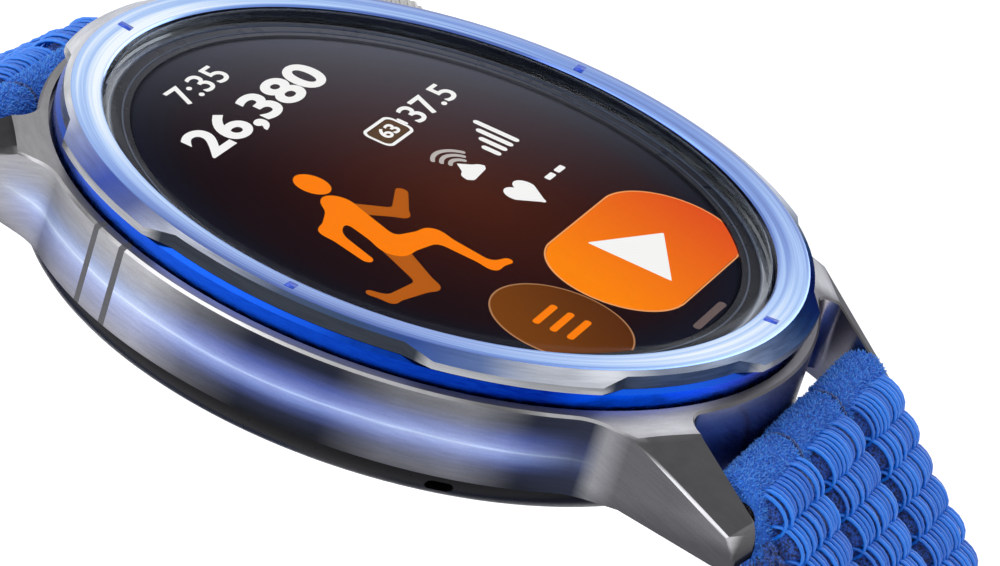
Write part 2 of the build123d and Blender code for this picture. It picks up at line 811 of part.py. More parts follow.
def make_button_stem():
    start = case_radius - button_pocket_depth + button_travel + 0.1
    stem = rod(button_stem_radius, button_stem_end(), start + 0.7)
    groove = rod(far, clip_start(), clip_start() + clip_thickness) - rod(button_stem_radius - clip_groove, 0, far)
    stem -= groove + o_ring_groove(button_o_ring_place(), button_stem_radius)
    return about_z(button_angle, Pos(0, 0, key_height) * stem)


def clip_start():
    return cavity_radius - 0.25 - clip_thickness


def make_button_clip():
    """Open retaining clip behind the case wall."""
    start = clip_start()
    clip = rod(clip_radius, start, start + clip_thickness) - rod(button_stem_radius - clip_groove, 0, far)
    clip -= block(0, far, -0.45, 0.45, -far, 0)
    return about_z(button_angle, Pos(0, 0, key_height) * clip)


def make_button_o_ring():
    ring = o_ring_at(button_o_ring_place(), button_stem_radius)
    return about_z(button_angle, Pos(0, 0, key_height) * ring)


def button_o_ring_place():
    return (cavity_radius + case_radius - button_pocket_depth) / 2


# ---- spring bars --------------------------------------------------------
def on_both_bars(make):
    """The same piece for the 12 o'clock bar and, turned about, for the 6 o'clock bar."""
    piece = Pos(0, bar_reach, bar_height) * Rot(-strap_drop_angle, 0, 0) * make()
    return piece, mirror(piece, Plane.XZ)


def bar_tube_end():
    return lug_gap / 2 - bar_end_clearance


def knob_place():
    return lug_gap / 2 - release_knob_inset


def bar_tube():
    end = bar_tube_end()
    body = rod(bar_tube_radius, -end, end) - rod(bar_tube_bore, -end + 1.2, far)
    reach = release_knob_radius + slot_clearance
    slot = block(knob_place() - release_travel - reach, knob_place() + reach, -reach, reach, -far, 0)
    return body - slot


def bar_fixed_tip():
    end = bar_tube_end()
    return rod(bar_tip_radius, -lug_gap / 2 - bar_tip_depth, -end)


def bar_release_pin():
    """Sliding tip, its plunger inside the tube and the knob that draws it in."""
    tip = rod(bar_tip_radius, knob_place() - 1.4, lug_gap / 2 + bar_tip_depth)
    plunger = rod(bar_tube_bore - running_clearance, knob_place() - 1.4, bar_tube_end() - 0.9)
    knob = cyl(release_knob_radius, -release_knob_length, 0, knob_place())
    crown = cyl(release_knob_radius + release_knob_flange, -release_knob_length, -release_knob_length + 0.5, knob_place())
    return tip + plunger + knob + crown


def bar_spring():
    stop = knob_place() - 1.4 - release_travel - 0.1
    start = stop - spring_length
    coil = coil_spring(bar_tube_bore - spring_wire - 0.04, spring_wire, spring_length - 0.4, spring_turns)
    return Pos(start + 0.2, 0, 0) * Rot(0, 90, 0) * coil


# ---- strap --------------------------------------------------------------
class Run:
    """A centre line in the YZ plane, made of straight and curved stretches."""

    def __init__(self, y, z, heading):
        self.stations = []
        self.y, self.z, self.heading = y, z, heading

    def straight(self, length):
        start = (self.y, self.z, self.heading)
        self.y += length * cos(radians(self.heading))
        self.z += length * sin(radians(self.heading))
        self.stations.append((start, None, (self.y, self.z, self.heading)))
        return self

    def right_turn(self, radius, turn):
        start = (self.y, self.z, self.heading)
        centre_y = self.y + radius * sin(radians(self.heading))
        centre_z = self.z - radius * cos(radians(self.heading))

        def place(heading):
            return (centre_y - radius * sin(radians(heading)), centre_z + radius * cos(radians(heading)), heading)

        middle = place(self.heading - turn / 2)
        self.y, self.z, self.heading = place(self.heading - turn)
        self.stations.append((start, middle, (self.y, self.z, self.heading)))
        return self

    def side(self, offset):
        """Edges of the line moved to its left by offset."""
        def moved(station):
            y, z, heading = station
            return y - offset * sin(radians(heading)), z + offset * cos(radians(heading))

        edges = []
        for start, middle, end in self.stations:
            if middle is None:
                edges.append(Line(moved(start), moved(end)))
            else:
                edges.append(ThreePointArc(moved(start), moved(middle), moved(end)))
        return edges

    def ribbon(self, left, right):
        outer, inner = self.side(left), self.side(right)
        first = Line(outer[0] @ 0, inner[0] @ 0)
        last = Line(outer[-1] @ 1, inner[-1] @ 1)
        return make_face(outer + inner + [first, last])


def strap_line(tail):
    line = Run(bar_reach, bar_height, -strap_drop_angle)
    return line.straight(strap_straight).right_turn(*upper_arc).right_turn(*lower_arc).straight(tail)


def across(face, width):
    return extrude(Plane.YZ * face, width / 2, both=True)


def strap_half(tail):
    half = band_thickness / 2
    sleeve = Pos(bar_reach, bar_height) * Circle(sleeve_radius)
    band = across(strap_line(tail).ribbon(half, -half) + sleeve, strap_width)
    band -= rod(bar_tube_radius, -far, far, bar_reach, bar_height)
    reach = release_knob_radius + window_clearance
    window = block(knob_place() - release_travel - reach, knob_place() + reach, -reach, reach, -sleeve_radius - 1, 0)
    return band - Pos(0, bar_reach, bar_height) * Rot(-strap_drop_angle, 0, 0) * window


def loop_axis():
    line = strap_line(short_tail)
    return line.y, line.z


def make_short_strap():
    y, z = loop_axis()
    strap = strap_half(short_tail)
    strap += rod(loop_sleeve_radius, -strap_width / 2 + 0.3, strap_width / 2 - 0.3, y, z)
    return strap - rod(loop_wire + running_clearance, -far, far, y, z)


def make_long_strap():
    return mirror(strap_half(long_tail), Plane.XZ)


def make_strap_tab():
    """Hook tab: stitched inside the band's end, round it and back along the outside."""
    half = band_thickness / 2
    line = strap_line(long_tail)
    y, z = line.y, line.z
    outside = half + tab_thickness
    inner_leaf = across(end_of_line(tab_anchor).ribbon(-half, -outside), tab_width)
    outer_leaf = across(end_of_line(tab_return).ribbon(outside, half), tab_width)
    turn = rod(outside, -tab_width / 2, tab_width / 2, y, z) - rod(half, -far, far, y, z)
    turn -= block(-far, far, y, far, -far, far)
    return mirror(inner_leaf + turn + outer_leaf, Plane.XZ)


def end_of_line(covered):
    """The last part of the long strap's centre line, of the length given."""
    turn = degrees((covered - long_tail) / lower_arc[0])
    line = Run(bar_reach, bar_height, -strap_drop_angle)
    line.straight(strap_straight).right_turn(*upper_arc).right_turn(lower_arc[0], lower_arc[1] - turn)
    line.stations.clear()
    return line.right_turn(lower_arc[0], turn).straight(long_tail)


def make_loop_ring():
    """Closed wire loop in the sleeve at the short strap's end; its far bar lies level with the sleeve."""
    y, z = loop_axis()
    half = loop_inner_width / 2 + loop_wire
    path = FilletPolyline((-half, 0), (half, 0), (half, -loop_length), (-half, -loop_length),
                          radius=loop_corner, close=True)
    start = path @ 0
    section = Plane(origin=start, z_dir=path % 0) * Circle(loop_wire)
    ring = sweep(section, path=path)
    droop = degrees(asin((loop_sleeve_radius - loop_wire) / loop_length))
    return Pos(0, y, z) * Rot(droop, 0, 0) * ring


# ---- assembly -----------------------------------------------------------
def all_pieces():
    blank = case_blank()
    case = bored(blank)
    slots = antenna_slots()
    pieces = {
        "mid_case": case - slots,
        "antenna_inserts": case & slots,
        "bezel": make_bezel(),
        "bezel_inner_ring": make_bezel_inner_ring(),
        "accent_ring": make_accent_ring(),
        "cover_glass": make_cover_glass(),
        "glass_gasket": make_glass_gasket(),
        "display_panel": make_display_panel(),
        "display_bracket": make_display_bracket(),
        "display_flex": make_display_flex(),
        "inner_frame": make_inner_frame(),
        "battery": make_battery(),
        "main_board": make_main_board(),
        "board_shields": make_board_shields(),
        "haptic_housing": make_haptic_housing(),
        "haptic_coil": make_haptic_coil(),
        "haptic_mass": make_haptic_mass(),
        "speaker": make_speaker(),
        "microphone": make_microphone(),
        "mic_mesh": make_mic_mesh(),
        "pressure_sensor": make_pressure_sensor(),
        "back_cover": make_back_cover(),
        "back_seal": make_back_seal(),
        "back_screws": make_back_screws(),
        "frame_screws": make_frame_screws(),
        "sensor_window": make_sensor_window(),
        "electrodes": make_electrodes(),
        "charging_coil": make_charging_coil(),
        "ferrite_sheet": make_ferrite_sheet(),
        "sensor_board": make_sensor_board(),
        "sensor_leds": make_sensor_leds(),
        "photodiodes": make_photodiodes(),
        "sensor_flex": make_sensor_flex(),
        "key_flex": make_key_flex(),
        "crown_switch": key_switch(crown_angle, crown_flange_start(), crown_travel),
        "crown_encoder": make_crown_encoder(),
        "crown_tube": make_crown_tube(),
        "crown_collar": make_crown_collar(),
        "crown_cap": make_crown_cap(),
        "crown_shaft": make_crown_shaft(),
        "crown_o_ring": crown_part(o_ring_at(o_ring_place(), crown_shaft_radius)),
        "button_switch": key_switch(button_angle, button_stem_end(), button_travel),
        "button_cap": make_button_cap(),
        "button_stem": make_button_stem(),
        "button_clip": make_button_clip(),
        "button_o_ring": make_button_o_ring(),
        "short_strap": make_short_strap(),
        "long_strap": make_long_strap(),
        "strap_tab": make_strap_tab(),
        "loop_ring": make_loop_ring(),
    }
    for name, make in (("bar_tube", bar_tube), ("fixed_tip", bar_fixed_tip),
                       ("release_pin", bar_release_pin), ("bar_spring", bar_spring)):
        pieces["short_" + name], pieces["long_" + name] = on_both_bars(make)
    return pieces


def main():
    os.makedirs("parts", exist_ok=True)
    for name, piece in all_pieces().items():
        piece.label = name
        export_step(piece, os.path.join("parts", name + ".step"))


main()
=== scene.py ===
import bpy
import bmesh
import math
from mathutils import Matrix, Vector


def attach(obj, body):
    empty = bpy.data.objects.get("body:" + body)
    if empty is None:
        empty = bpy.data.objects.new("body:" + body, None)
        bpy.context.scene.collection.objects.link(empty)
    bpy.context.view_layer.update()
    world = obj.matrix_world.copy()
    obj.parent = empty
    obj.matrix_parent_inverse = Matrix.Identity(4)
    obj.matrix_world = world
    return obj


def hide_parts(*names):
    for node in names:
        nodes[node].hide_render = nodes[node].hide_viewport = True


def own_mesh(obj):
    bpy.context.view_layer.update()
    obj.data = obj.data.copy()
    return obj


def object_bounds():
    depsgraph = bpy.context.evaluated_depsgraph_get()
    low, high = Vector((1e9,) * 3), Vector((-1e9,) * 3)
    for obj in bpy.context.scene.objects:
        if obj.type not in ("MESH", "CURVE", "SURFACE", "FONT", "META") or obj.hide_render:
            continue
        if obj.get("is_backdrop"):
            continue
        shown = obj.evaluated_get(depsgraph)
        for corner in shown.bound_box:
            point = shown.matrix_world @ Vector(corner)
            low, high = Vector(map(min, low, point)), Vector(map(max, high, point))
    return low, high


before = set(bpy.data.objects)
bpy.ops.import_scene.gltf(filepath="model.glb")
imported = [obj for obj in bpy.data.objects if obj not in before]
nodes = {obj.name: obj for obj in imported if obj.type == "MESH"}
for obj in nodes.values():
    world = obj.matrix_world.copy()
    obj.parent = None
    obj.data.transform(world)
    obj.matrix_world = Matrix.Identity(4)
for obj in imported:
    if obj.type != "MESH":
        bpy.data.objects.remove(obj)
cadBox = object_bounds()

mm = 0.001
print("frame loaded:", len(nodes), "nodes")


# node trees, where a node's output can be reckoned with like a number
class Value:
    def __init__(self, graph, socket):
        self.graph, self.socket = graph, socket

    def __add__(self, other):
        return self.graph.maths("ADD", self, other)

    def __sub__(self, other):
        return self.graph.maths("SUBTRACT", self, other)

    def __rsub__(self, other):
        return self.graph.maths("SUBTRACT", other, self)

    def __mul__(self, other):
        return self.graph.maths("MULTIPLY", self, other)

    def __truediv__(self, other):
        return self.graph.maths("DIVIDE", self, other)

    def __rtruediv__(self, other):
        return self.graph.maths("DIVIDE", other, self)

    def __pow__(self, other):
        return self.graph.maths("POWER", self, other)

    def __abs__(self):
        return self.graph.maths("ABSOLUTE", self)


class Graph:
    def __init__(self, tree):
        self.tree = tree

    def put(self, node, values):
        for key, value in values.items():
            if isinstance(value, Value):
                self.tree.links.new(value.socket, node.inputs[key])
            else:
                node.inputs[key].default_value = value

    def add(self, kind, values=None, **settings):
        node = self.tree.nodes.new(kind if "Node" in kind else "ShaderNode" + kind)
        for key, value in settings.items():
            setattr(node, key, value)
        self.put(node, values or {})
        return node

    def get(self, kind, values=None, output=0, **settings):
        return Value(self, self.add(kind, values, **settings).outputs[output])

    def several(self, outputs, kind, values=None, **settings):
        node = self.add(kind, values, **settings)
        return [Value(self, node.outputs[output]) for output in outputs]

    def maths(self, operation, a, b=0.0, clamp=False):
        return self.get("Math", {0: a, 1: b}, operation=operation, use_clamp=clamp)

    def axes(self, vector):
        return self.several((0, 1, 2), "SeparateXYZ", {0: vector})

    def combine(self, x=0.0, y=0.0, z=0.0):
        return self.get("CombineXYZ", {0: x, 1: y, 2: z})

    def inSight(self):
        # 1 for rays from the camera, off a mirror or through glass
        rays = self.several(("Is Camera Ray", "Is Glossy Ray", "Is Transmission Ray"), "LightPath")
        return self.maths("MAXIMUM", self.maths("MAXIMUM", rays[0], rays[1]), rays[2])


class Finish(Graph):
    def __init__(self, name, colour, roughness=0.5, metallic=0.0, **more):
        self.material = bpy.data.materials.new(name)
        self.material.use_nodes = True
        super().__init__(self.material.node_tree)
        self.shader = self.tree.nodes["Principled BSDF"]
        self.put(self.shader, {"Base Color": (*colour, 1), "Roughness": roughness, "Metallic": metallic, **more})

    def place(self):
        return self.get("TexCoord", output="Object")

    def normal(self):
        return self.axes(self.get("TexCoord", output="Normal"))

    def round(self, around, across, height):
        # coordinates that run round the Z axis with no seam, for turned and circular-brushed metal
        x, y, z = self.axes(self.place())
        reach = self.reach(x, y)
        return self.combine(x / reach * around, y / reach * around, reach * across + z * height)

    def reflectionSectors(self, *waves):
        # painted reflection: light and dark sectors round the Z axis, as on brushed metal: (count, share, turn) for
        # each wave
        x, y, z = self.axes(self.place())
        angle = self.maths("ARCTAN2", y, x)
        total = 0.5
        for count, share, turn in waves:
            total = self.maths("COSINE", angle * count + -turn) * (share / 2) + total
        return total

    def reach(self, x, y):
        return self.maths("SQRT", x * x + y * y)

    def stretched(self, scale):
        return self.get("Mapping", {"Vector": self.place(), "Scale": scale})

    def noise(self, vector, scale=1.0, detail=2.0, rough=0.5):
        return self.get("TexNoise", {"Vector": vector, "Scale": scale, "Detail": detail, "Roughness": rough}, "Fac")

    def cells(self, scale, feature="F1"):
        return self.get("TexVoronoi", {"Vector": self.place(), "Scale": scale}, "Distance", feature=feature)

    def wave(self, vector, scale, direction="X", **more):
        return self.get("TexWave", {"Vector": vector, "Scale": scale, **more}, "Fac", bands_direction=direction)

    def attribute(self, name):
        return self.get("Attribute", output="Fac", attribute_name=name)

    def cloth(self):
        return self.get("UVMap", uv_map="cloth")

    def span(self, value, low, high, out0=0.0, out1=1.0):
        values = {"Value": value, "From Min": low, "From Max": high, "To Min": out0, "To Max": out1}
        return self.get("MapRange", values, "Result")

    def rise(self, value, low, high, out0=0.0, out1=1.0):
        # from one level to another between two places in millimetres
        return self.span(value, low * mm, high * mm, out0, out1)

    def fall(self, value, low, high, last=0.0):
        return self.rise(value, low, high, 1.0, last)

    def most(self, a, b):
        return self.maths("MAXIMUM", a, b)

    def ramp(self, factor, stops):
        node = self.add("ValToRGB", {"Fac": factor})
        points = node.color_ramp.elements
        while len(points) < len(stops):
            points.new(0.5)
        for point, (where, colour) in zip(points, stops):
            point.position = where
            point.color = (*colour, 1)
        return Value(self, node.outputs["Color"])

    def mix(self, factor, a, b):
        a, b = ((*colour, 1) if isinstance(colour, tuple) else colour for colour in (a, b))
        return self.get("Mix", {0: factor, 6: a, 7: b}, 2, data_type="RGBA")

    def colour(self, value):
        self.put(self.shader, {"Base Color": value})

    def roughness(self, value):
        self.put(self.shader, {"Roughness": value})

    def bump(self, height, strength, microns):
        values = {"Height": height, "Strength": strength, "Distance": microns * mm * mm}
        self.put(self.shader, {"Normal": self.get("Bump", values)})

    def throughGlass(self, share):
        # lets light straight through, all but the given share
        values = {0: share, 1: self.get("BsdfTransparent"), 2: Value(self, self.shader.outputs[0])}
        self.put(self.tree.nodes["Material Output"], {"Surface": self.get("MixShader", values)})


class Tree(Graph):
    # Geometry Nodes with named inputs, listed by kind
    def __init__(self, name, **inputs):
        super().__init__(bpy.data.node_groups.new(name, "GeometryNodeTree"))
        sockets = [("Geometry", "Geometry", "INPUT")]
        sockets += [(label, kind, "INPUT") for kind, labels in inputs.items() for label in labels.split(", ")]
        for label, kind, way in sockets + [("Geometry", "Geometry", "OUTPUT")]:
            self.tree.interface.new_socket(label, in_out=way, socket_type="NodeSocket" + kind)
        self.start = self.tree.nodes.new("NodeGroupInput")
        self.end = self.tree.nodes.new("NodeGroupOutput")

    def given(self, name):
        return Value(self, self.start.outputs[name])

    def part(self, name):
        return self.get("GeometryNodeObjectInfo", {"Object": self.given(name)}, "Geometry")

    def vector(self, operation, *vectors):
        return self.get("VectorMath", dict(enumerate(vectors)), operation=operation)

    def scaled(self, vector, amount):
        return self.get("VectorMath", {0: vector, "Scale": amount}, operation="SCALE")

    def random(self, low=0.0, high=1.0):
        return self.get("FunctionNodeRandomValue", {2: low, 3: high, "Seed": self.given("Seed")}, 1)

    def randomVector(self, low, high):
        values = {"Min": low, "Max": high, "Seed": self.given("Seed")}
        return self.get("FunctionNodeRandomValue", values, data_type="FLOAT_VECTOR")

    def turn(self, angles):
        return self.get("FunctionNodeEulerToRotation", {0: angles})

    def turned(self, rotation, angles):
        return self.get("FunctionNodeRotateRotation", {0: rotation, 1: self.turn(angles)}, rotation_space="LOCAL")

    def moved(self, geometry, **values):
        return self.get("GeometryNodeSetPosition", {"Geometry": geometry, **values})

    def copies(self, points, shaded=False, **values):
        # the unit on every point as real geometry, with a random shade kept for each copy if wanted
        made = self.get("GeometryNodeInstanceOnPoints", {"Points": points, "Instance": self.part("Unit"), **values})
        if shaded:
            values = {"Geometry": made, "Name": "shade", "Value": self.random()}
            made = self.get("GeometryNodeStoreNamedAttribute", values, data_type="FLOAT", domain="INSTANCE")
        return self.get("GeometryNodeRealizeInstances", {"Geometry": made})

    def alongLine(self, geometry):
        # flat (x, along, height) becomes x across, a place along the line and a height off its outer side
        x, along, height = self.axes(self.get("GeometryNodeInputPosition"))
        tangent, spot = self.several(("Tangent", "Position"), "GeometryNodeSampleCurve",
                                     {"Curves": self.part("Line"), "Length": along}, mode="LENGTH", use_all_curves=True)
        across = self.combine(self.given("Side"))
        outward = self.vector("NORMALIZE", self.vector("CROSS_PRODUCT", across, tangent))
        offset = self.vector("ADD", self.scaled(outward, height), self.scaled(across, x))
        return self.moved(geometry, Position=self.vector("ADD", offset, spot))

    def inputOf(self, name):
        items = self.tree.interface.items_tree
        return next(item.identifier for item in items if item.name == name and item.in_out == "INPUT")

    def use(self, obj, values):
        modifier = obj.modifiers.new("build", "NODES")
        modifier.node_group = self.tree
        for name, value in values.items():
            modifier[self.inputOf(name)] = value

    def finish(self, geometry):
        self.tree.links.new(geometry.socket, self.end.inputs[0])
        return self

    def clothed(self, geometry):
        values = {"Geometry": geometry, "Material": self.given("Material")}
        return self.finish(self.get("GeometryNodeSetMaterial", values))


# camera, light and floor
view = {
    "place": (-266.507, -79.518, 137.514),
    "right": (0.3834, -0.8811, 0.2768),
    "up": (0.3107, 0.4052, 0.8597),
    "lens": 206.7,
    "clip": (0.01, 20),
}
studio = {
    "floorColour": (0.90, 0.90, 0.91),
    "floorSize": 3.0,
    "floorGlow": 0.32,
    "worldColour": (0.93, 0.95, 1.0),
    "worldStrength": 0.65,
}
lamps = {     # place and aim in mm, size in mm, power in watts, colour
    "key": {"place": (-160, 260, 420), "aim": (0, 0, 0), "size": (460, 360), "power": 1.1, "colour": (1.0, 0.98, 0.96)},
    "side": {"place": (420, -120, 180), "aim": (0, 0, 0), "size": (300, 420), "power": 0.5,
             "colour": (0.88, 0.93, 1.0)},
    "front": {"place": (-380, -330, 120), "aim": (0, -10, 0), "size": (240, 340), "power": 0.30,
              "colour": (0.95, 0.97, 1.0)},
    "left": {"place": (-330, 330, 60), "aim": (0, 10, 0), "size": (420, 360), "power": 0.7, "colour": (1.0, 0.99, 1.0)},
}


def linked(name, data):
    obj = bpy.data.objects.new(name, data)
    bpy.context.scene.collection.objects.link(obj)
    return obj


def addCamera():
    camera = bpy.data.cameras.new("camera")
    camera.lens = view["lens"]
    camera.clip_start, camera.clip_end = view["clip"]
    right, up = Vector(view["right"]).normalized(), Vector(view["up"]).normalized()
    turn = Matrix((right, up, right.cross(up))).transposed().to_4x4()
    obj = linked("camera", camera)
    obj.matrix_world = Matrix.Translation(Vector(view["place"]) * mm) @ turn
    bpy.context.scene.camera = obj


def addLamps():
    for name, lamp in lamps.items():
        light = bpy.data.lights.new(name, "AREA")
        light.shape = "RECTANGLE"
        light.size, light.size_y = (c * mm for c in lamp["size"])
        light.energy, light.color = lamp["power"], lamp["colour"]
        obj = linked(name, light)
        obj.location = Vector(lamp["place"]) * mm
        obj.rotation_euler = ((Vector(lamp["aim"]) - Vector(lamp["place"])) * mm).to_track_quat("-Z", "Y").to_euler()


def addWorld():
    # soft light on the object, and plain white wherever the world itself is seen
    world = bpy.data.worlds.new("studio")
    bpy.context.scene.world = world
    world.use_nodes = True
    room = Graph(world.node_tree)
    soft = room.tree.nodes["Background"]
    room.put(soft, {"Color": (*studio["worldColour"], 1), "Strength": studio["worldStrength"]})
    white = room.get("Background", {"Color": (1, 1, 1, 1), "Strength": 1.0})
    mixed = room.get("MixShader", {0: room.inSight(), 1: Value(room, soft.outputs[0]), 2: white})
    room.put(room.tree.nodes["World Output"], {"Surface": mixed})


def addFloor(height):
    half = studio["floorSize"] / 2
    mesh = bpy.data.meshes.new("floor")
    corners = ((-1, -1), (1, -1), (1, 1), (-1, 1))
    mesh.from_pydata([(x * half, y * half, height) for x, y in corners], [], [(0, 1, 2, 3)])
    floor = linked("floor", mesh)
    paint = Finish("floorPaint", studio["floorColour"], 0.9,
                   **{"Specular IOR Level": 0.0, "Emission Color": (1, 1, 1, 1)})
    paint.put(paint.shader, {"Emission Strength": paint.inSight() * studio["floorGlow"]})
    mesh.materials.append(paint.material)
    floor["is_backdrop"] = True


bpy.context.scene.view_settings.view_transform = "Standard"
addCamera()
addLamps()
addWorld()
print("studio set up")


# general finishes
def shaded(colour, amount):
    return tuple(min(1, c * amount) for c in colour)


def brushedMetal(name, colour, grain, roughness, speed, circular=False):
    finish = Finish(name, colour, roughness, 1.0)
    lines = finish.noise(finish.round(*speed) if circular else finish.stretched(speed), rough=0.6)
    cloud = finish.noise(finish.place(), 120.0)
    tone = lines + finish.span(cloud, 0.3, 0.7, -0.15, 0.15)
    finish.colour(finish.mix(tone, shaded(colour, 0.88), shaded(colour, 1.12)))
    finish.roughness(finish.span(lines, 0.3, 0.7, roughness * 0.8, roughness * 1.25))
    finish.bump(lines, grain, 20)
    return finish.material


def satinPlastic(name, colour, roughness=0.5, scale=6000, grain=0.15, **more):
    finish = Finish(name, colour, roughness, **more)
    speck = finish.noise(finish.place(), scale)
    finish.colour(finish.mix(finish.span(speck, 0.3, 0.7), shaded(colour, 0.85), shaded(colour, 1.12)))
    finish.roughness(finish.span(speck, 0.3, 0.7, roughness * 0.9, min(1, roughness * 1.15)))
    finish.bump(speck, grain, 30)
    return finish.material


def rubberBlack():
    return satinPlastic("rubberBlack", (0.018, 0.018, 0.02), 0.65, 5000, 0.25)


def circuitBoard():
    finish = Finish("boardGreen", (0.02, 0.16, 0.08), 0.35)
    colour, joint = finish.several(("Color", "Fac"), "TexBrick", {
        "Vector": finish.stretched((1, 1, 1)), "Color1": (0.02, 0.16, 0.08, 1), "Color2": (0.015, 0.12, 0.06, 1),
        "Mortar": (0.05, 0.28, 0.14, 1), "Scale": 700.0, "Mortar Size": 0.06})
    finish.colour(finish.mix(finish.span(finish.cells(900.0), 0.12, 0.16, 1, 0), colour, (0.75, 0.55, 0.22)))
    finish.bump(joint, 0.3, 20)
    return finish.material


def woundWire():
    copper, turns = (0.80, 0.42, 0.22), 42000
    finish = Finish("copperWire", copper, 0.3, 1.0)
    x, y, z = finish.axes(finish.place())
    wave = finish.maths("SINE", (finish.reach(x, y) + z) * turns)
    finish.colour(finish.mix(finish.span(wave, -1, 1), shaded(copper, 0.55), copper))
    finish.bump(wave, 0.6, 50)
    return finish.material


def shotTungsten():
    finish = Finish("shotTungsten", (0.25, 0.25, 0.26), 0.5, 1.0)
    pits = finish.cells(5000.0)
    finish.colour(finish.mix(pits, (0.18, 0.18, 0.19), (0.32, 0.32, 0.33)))
    finish.bump(pits, 0.4, 30)
    return finish.material


def filmOrange():
    finish = Finish("filmOrange", (0.42, 0.19, 0.03), 0.3)
    tracks = finish.wave(finish.place(), 1400.0, Distortion=0.4)
    finish.colour(finish.mix(finish.span(tracks, 0.45, 0.55), (0.36, 0.15, 0.02), (0.55, 0.30, 0.07)))
    finish.bump(tracks, 0.2, 20)
    return finish.material


def sensorGlass():
    tint = (0.010, 0.010, 0.012)
    finish = Finish("sensorGlass", tint, 0.06, 0.0, **{"Coat Weight": 0.4})
    finish.colour(finish.mix(finish.noise(finish.place(), 300.0), tint, shaded(tint, 1.3)))
    finish.throughGlass(0.72)
    return finish.material


# case finishes
case = {
    # painted reflection: share of the pale look by degrees round from -Y to +Y, the same on both sides
    "paintedReflection": ((-90, 0.30), (-44, 0.0), (-39, 0.0), (-30, 0.42), (-20, 0.33), (-11, 0.0), (1, 0.0), (10, 0.26),
              (19, 0.96), (36, 0.92), (90, 0.60)),
    # painted reflections on the side wall: colours by height for its dark and its pale look, each with a thin painted
    # highlight streak, and for the gap between the lugs, darker towards the bottom
    "level": (3.6, 8.7),
    "darkWallReflection": ((0.0, (0.010, 0.011, 0.014)), (0.14, (0.014, 0.015, 0.020)), (0.26, (0.022, 0.026, 0.050)),
             (0.35, (0.060, 0.080, 0.21)), (0.43, (0.17, 0.23, 0.50)), (0.485, (0.26, 0.33, 0.63)),
             (0.503, (0.42, 0.53, 0.80)), (0.521, (0.26, 0.33, 0.63)), (0.58, (0.16, 0.20, 0.47)),
             (0.67, (0.075, 0.105, 0.31)), (0.75, (0.045, 0.056, 0.135)), (0.84, (0.017, 0.021, 0.038)),
             (0.92, (0.018, 0.020, 0.032)), (1.0, (0.045, 0.046, 0.058))),
    "paleWallReflection": ((0.0, (0.16, 0.16, 0.18)), (0.14, (0.33, 0.33, 0.37)), (0.28, (0.33, 0.35, 0.48)),
             (0.43, (0.39, 0.44, 0.67)), (0.49, (0.50, 0.58, 0.80)), (0.507, (0.66, 0.75, 0.92)),
             (0.524, (0.50, 0.58, 0.80)), (0.60, (0.36, 0.42, 0.60)), (0.70, (0.35, 0.37, 0.44)),
             (0.84, (0.38, 0.38, 0.40)), (1.0, (0.46, 0.46, 0.47))),
    "gap": ((0.0, (0.10, 0.11, 0.22)), (0.40, (0.22, 0.22, 0.34)), (0.65, (0.50, 0.45, 0.60)),
            (0.90, (0.46, 0.42, 0.45))),
    # painted shade on the wall by the front lugs
    "front": (0.026, 0.030, 0.050),
    # painted shade in the recess inside the top of the case
    "recessShade": (0.05, 0.05, 0.056),
    # painted light on the lugs' sides along Y: darker at the near lugs, a painted highlight band where they leave the
    # wall, lighter towards the far lugs; and painted shade on the bottom of them
    "armLightAndShade": ((0.0, (0.170, 0.168, 0.175)), (0.07, (0.118, 0.116, 0.123)), (0.125, (0.118, 0.116, 0.123)),
            (0.145, (0.25, 0.25, 0.265)), (0.17, (0.27, 0.27, 0.285)), (1.0, (0.34, 0.335, 0.35))),
    "armShadedBottom": (0.08, 0.08, 0.085),
    # what faces up, with painted light: sloping facets painted darker than the flat tops, each for the far and the near
    # lugs, lighter on the near ones, and the lip of the gap painted darker
    "facet": ((0.050, 0.050, 0.054), (0.135, 0.133, 0.140)),
    "flat": ((0.37, 0.365, 0.375), (0.54, 0.53, 0.55)),
    "lip": ((0.17, 0.165, 0.175), (0.13, 0.128, 0.138)),
    # broken edges by how far they face up, on the shoulder and on the lugs, each with a painted highlight line
    "rim": ((0.54, (0.05, 0.05, 0.055)), (0.62, (0.44, 0.44, 0.46)), (0.68, (0.40, 0.40, 0.42)),
            (0.717, (0.13, 0.13, 0.135))),
    "edge": ((0.20, (0.12, 0.12, 0.125)), (0.32, (0.55, 0.55, 0.57)), (0.46, (0.50, 0.50, 0.52)),
             (0.56, (0.084, 0.084, 0.088)), (0.88, (0.088, 0.088, 0.092)), (0.95, (0.30, 0.30, 0.31))),
}


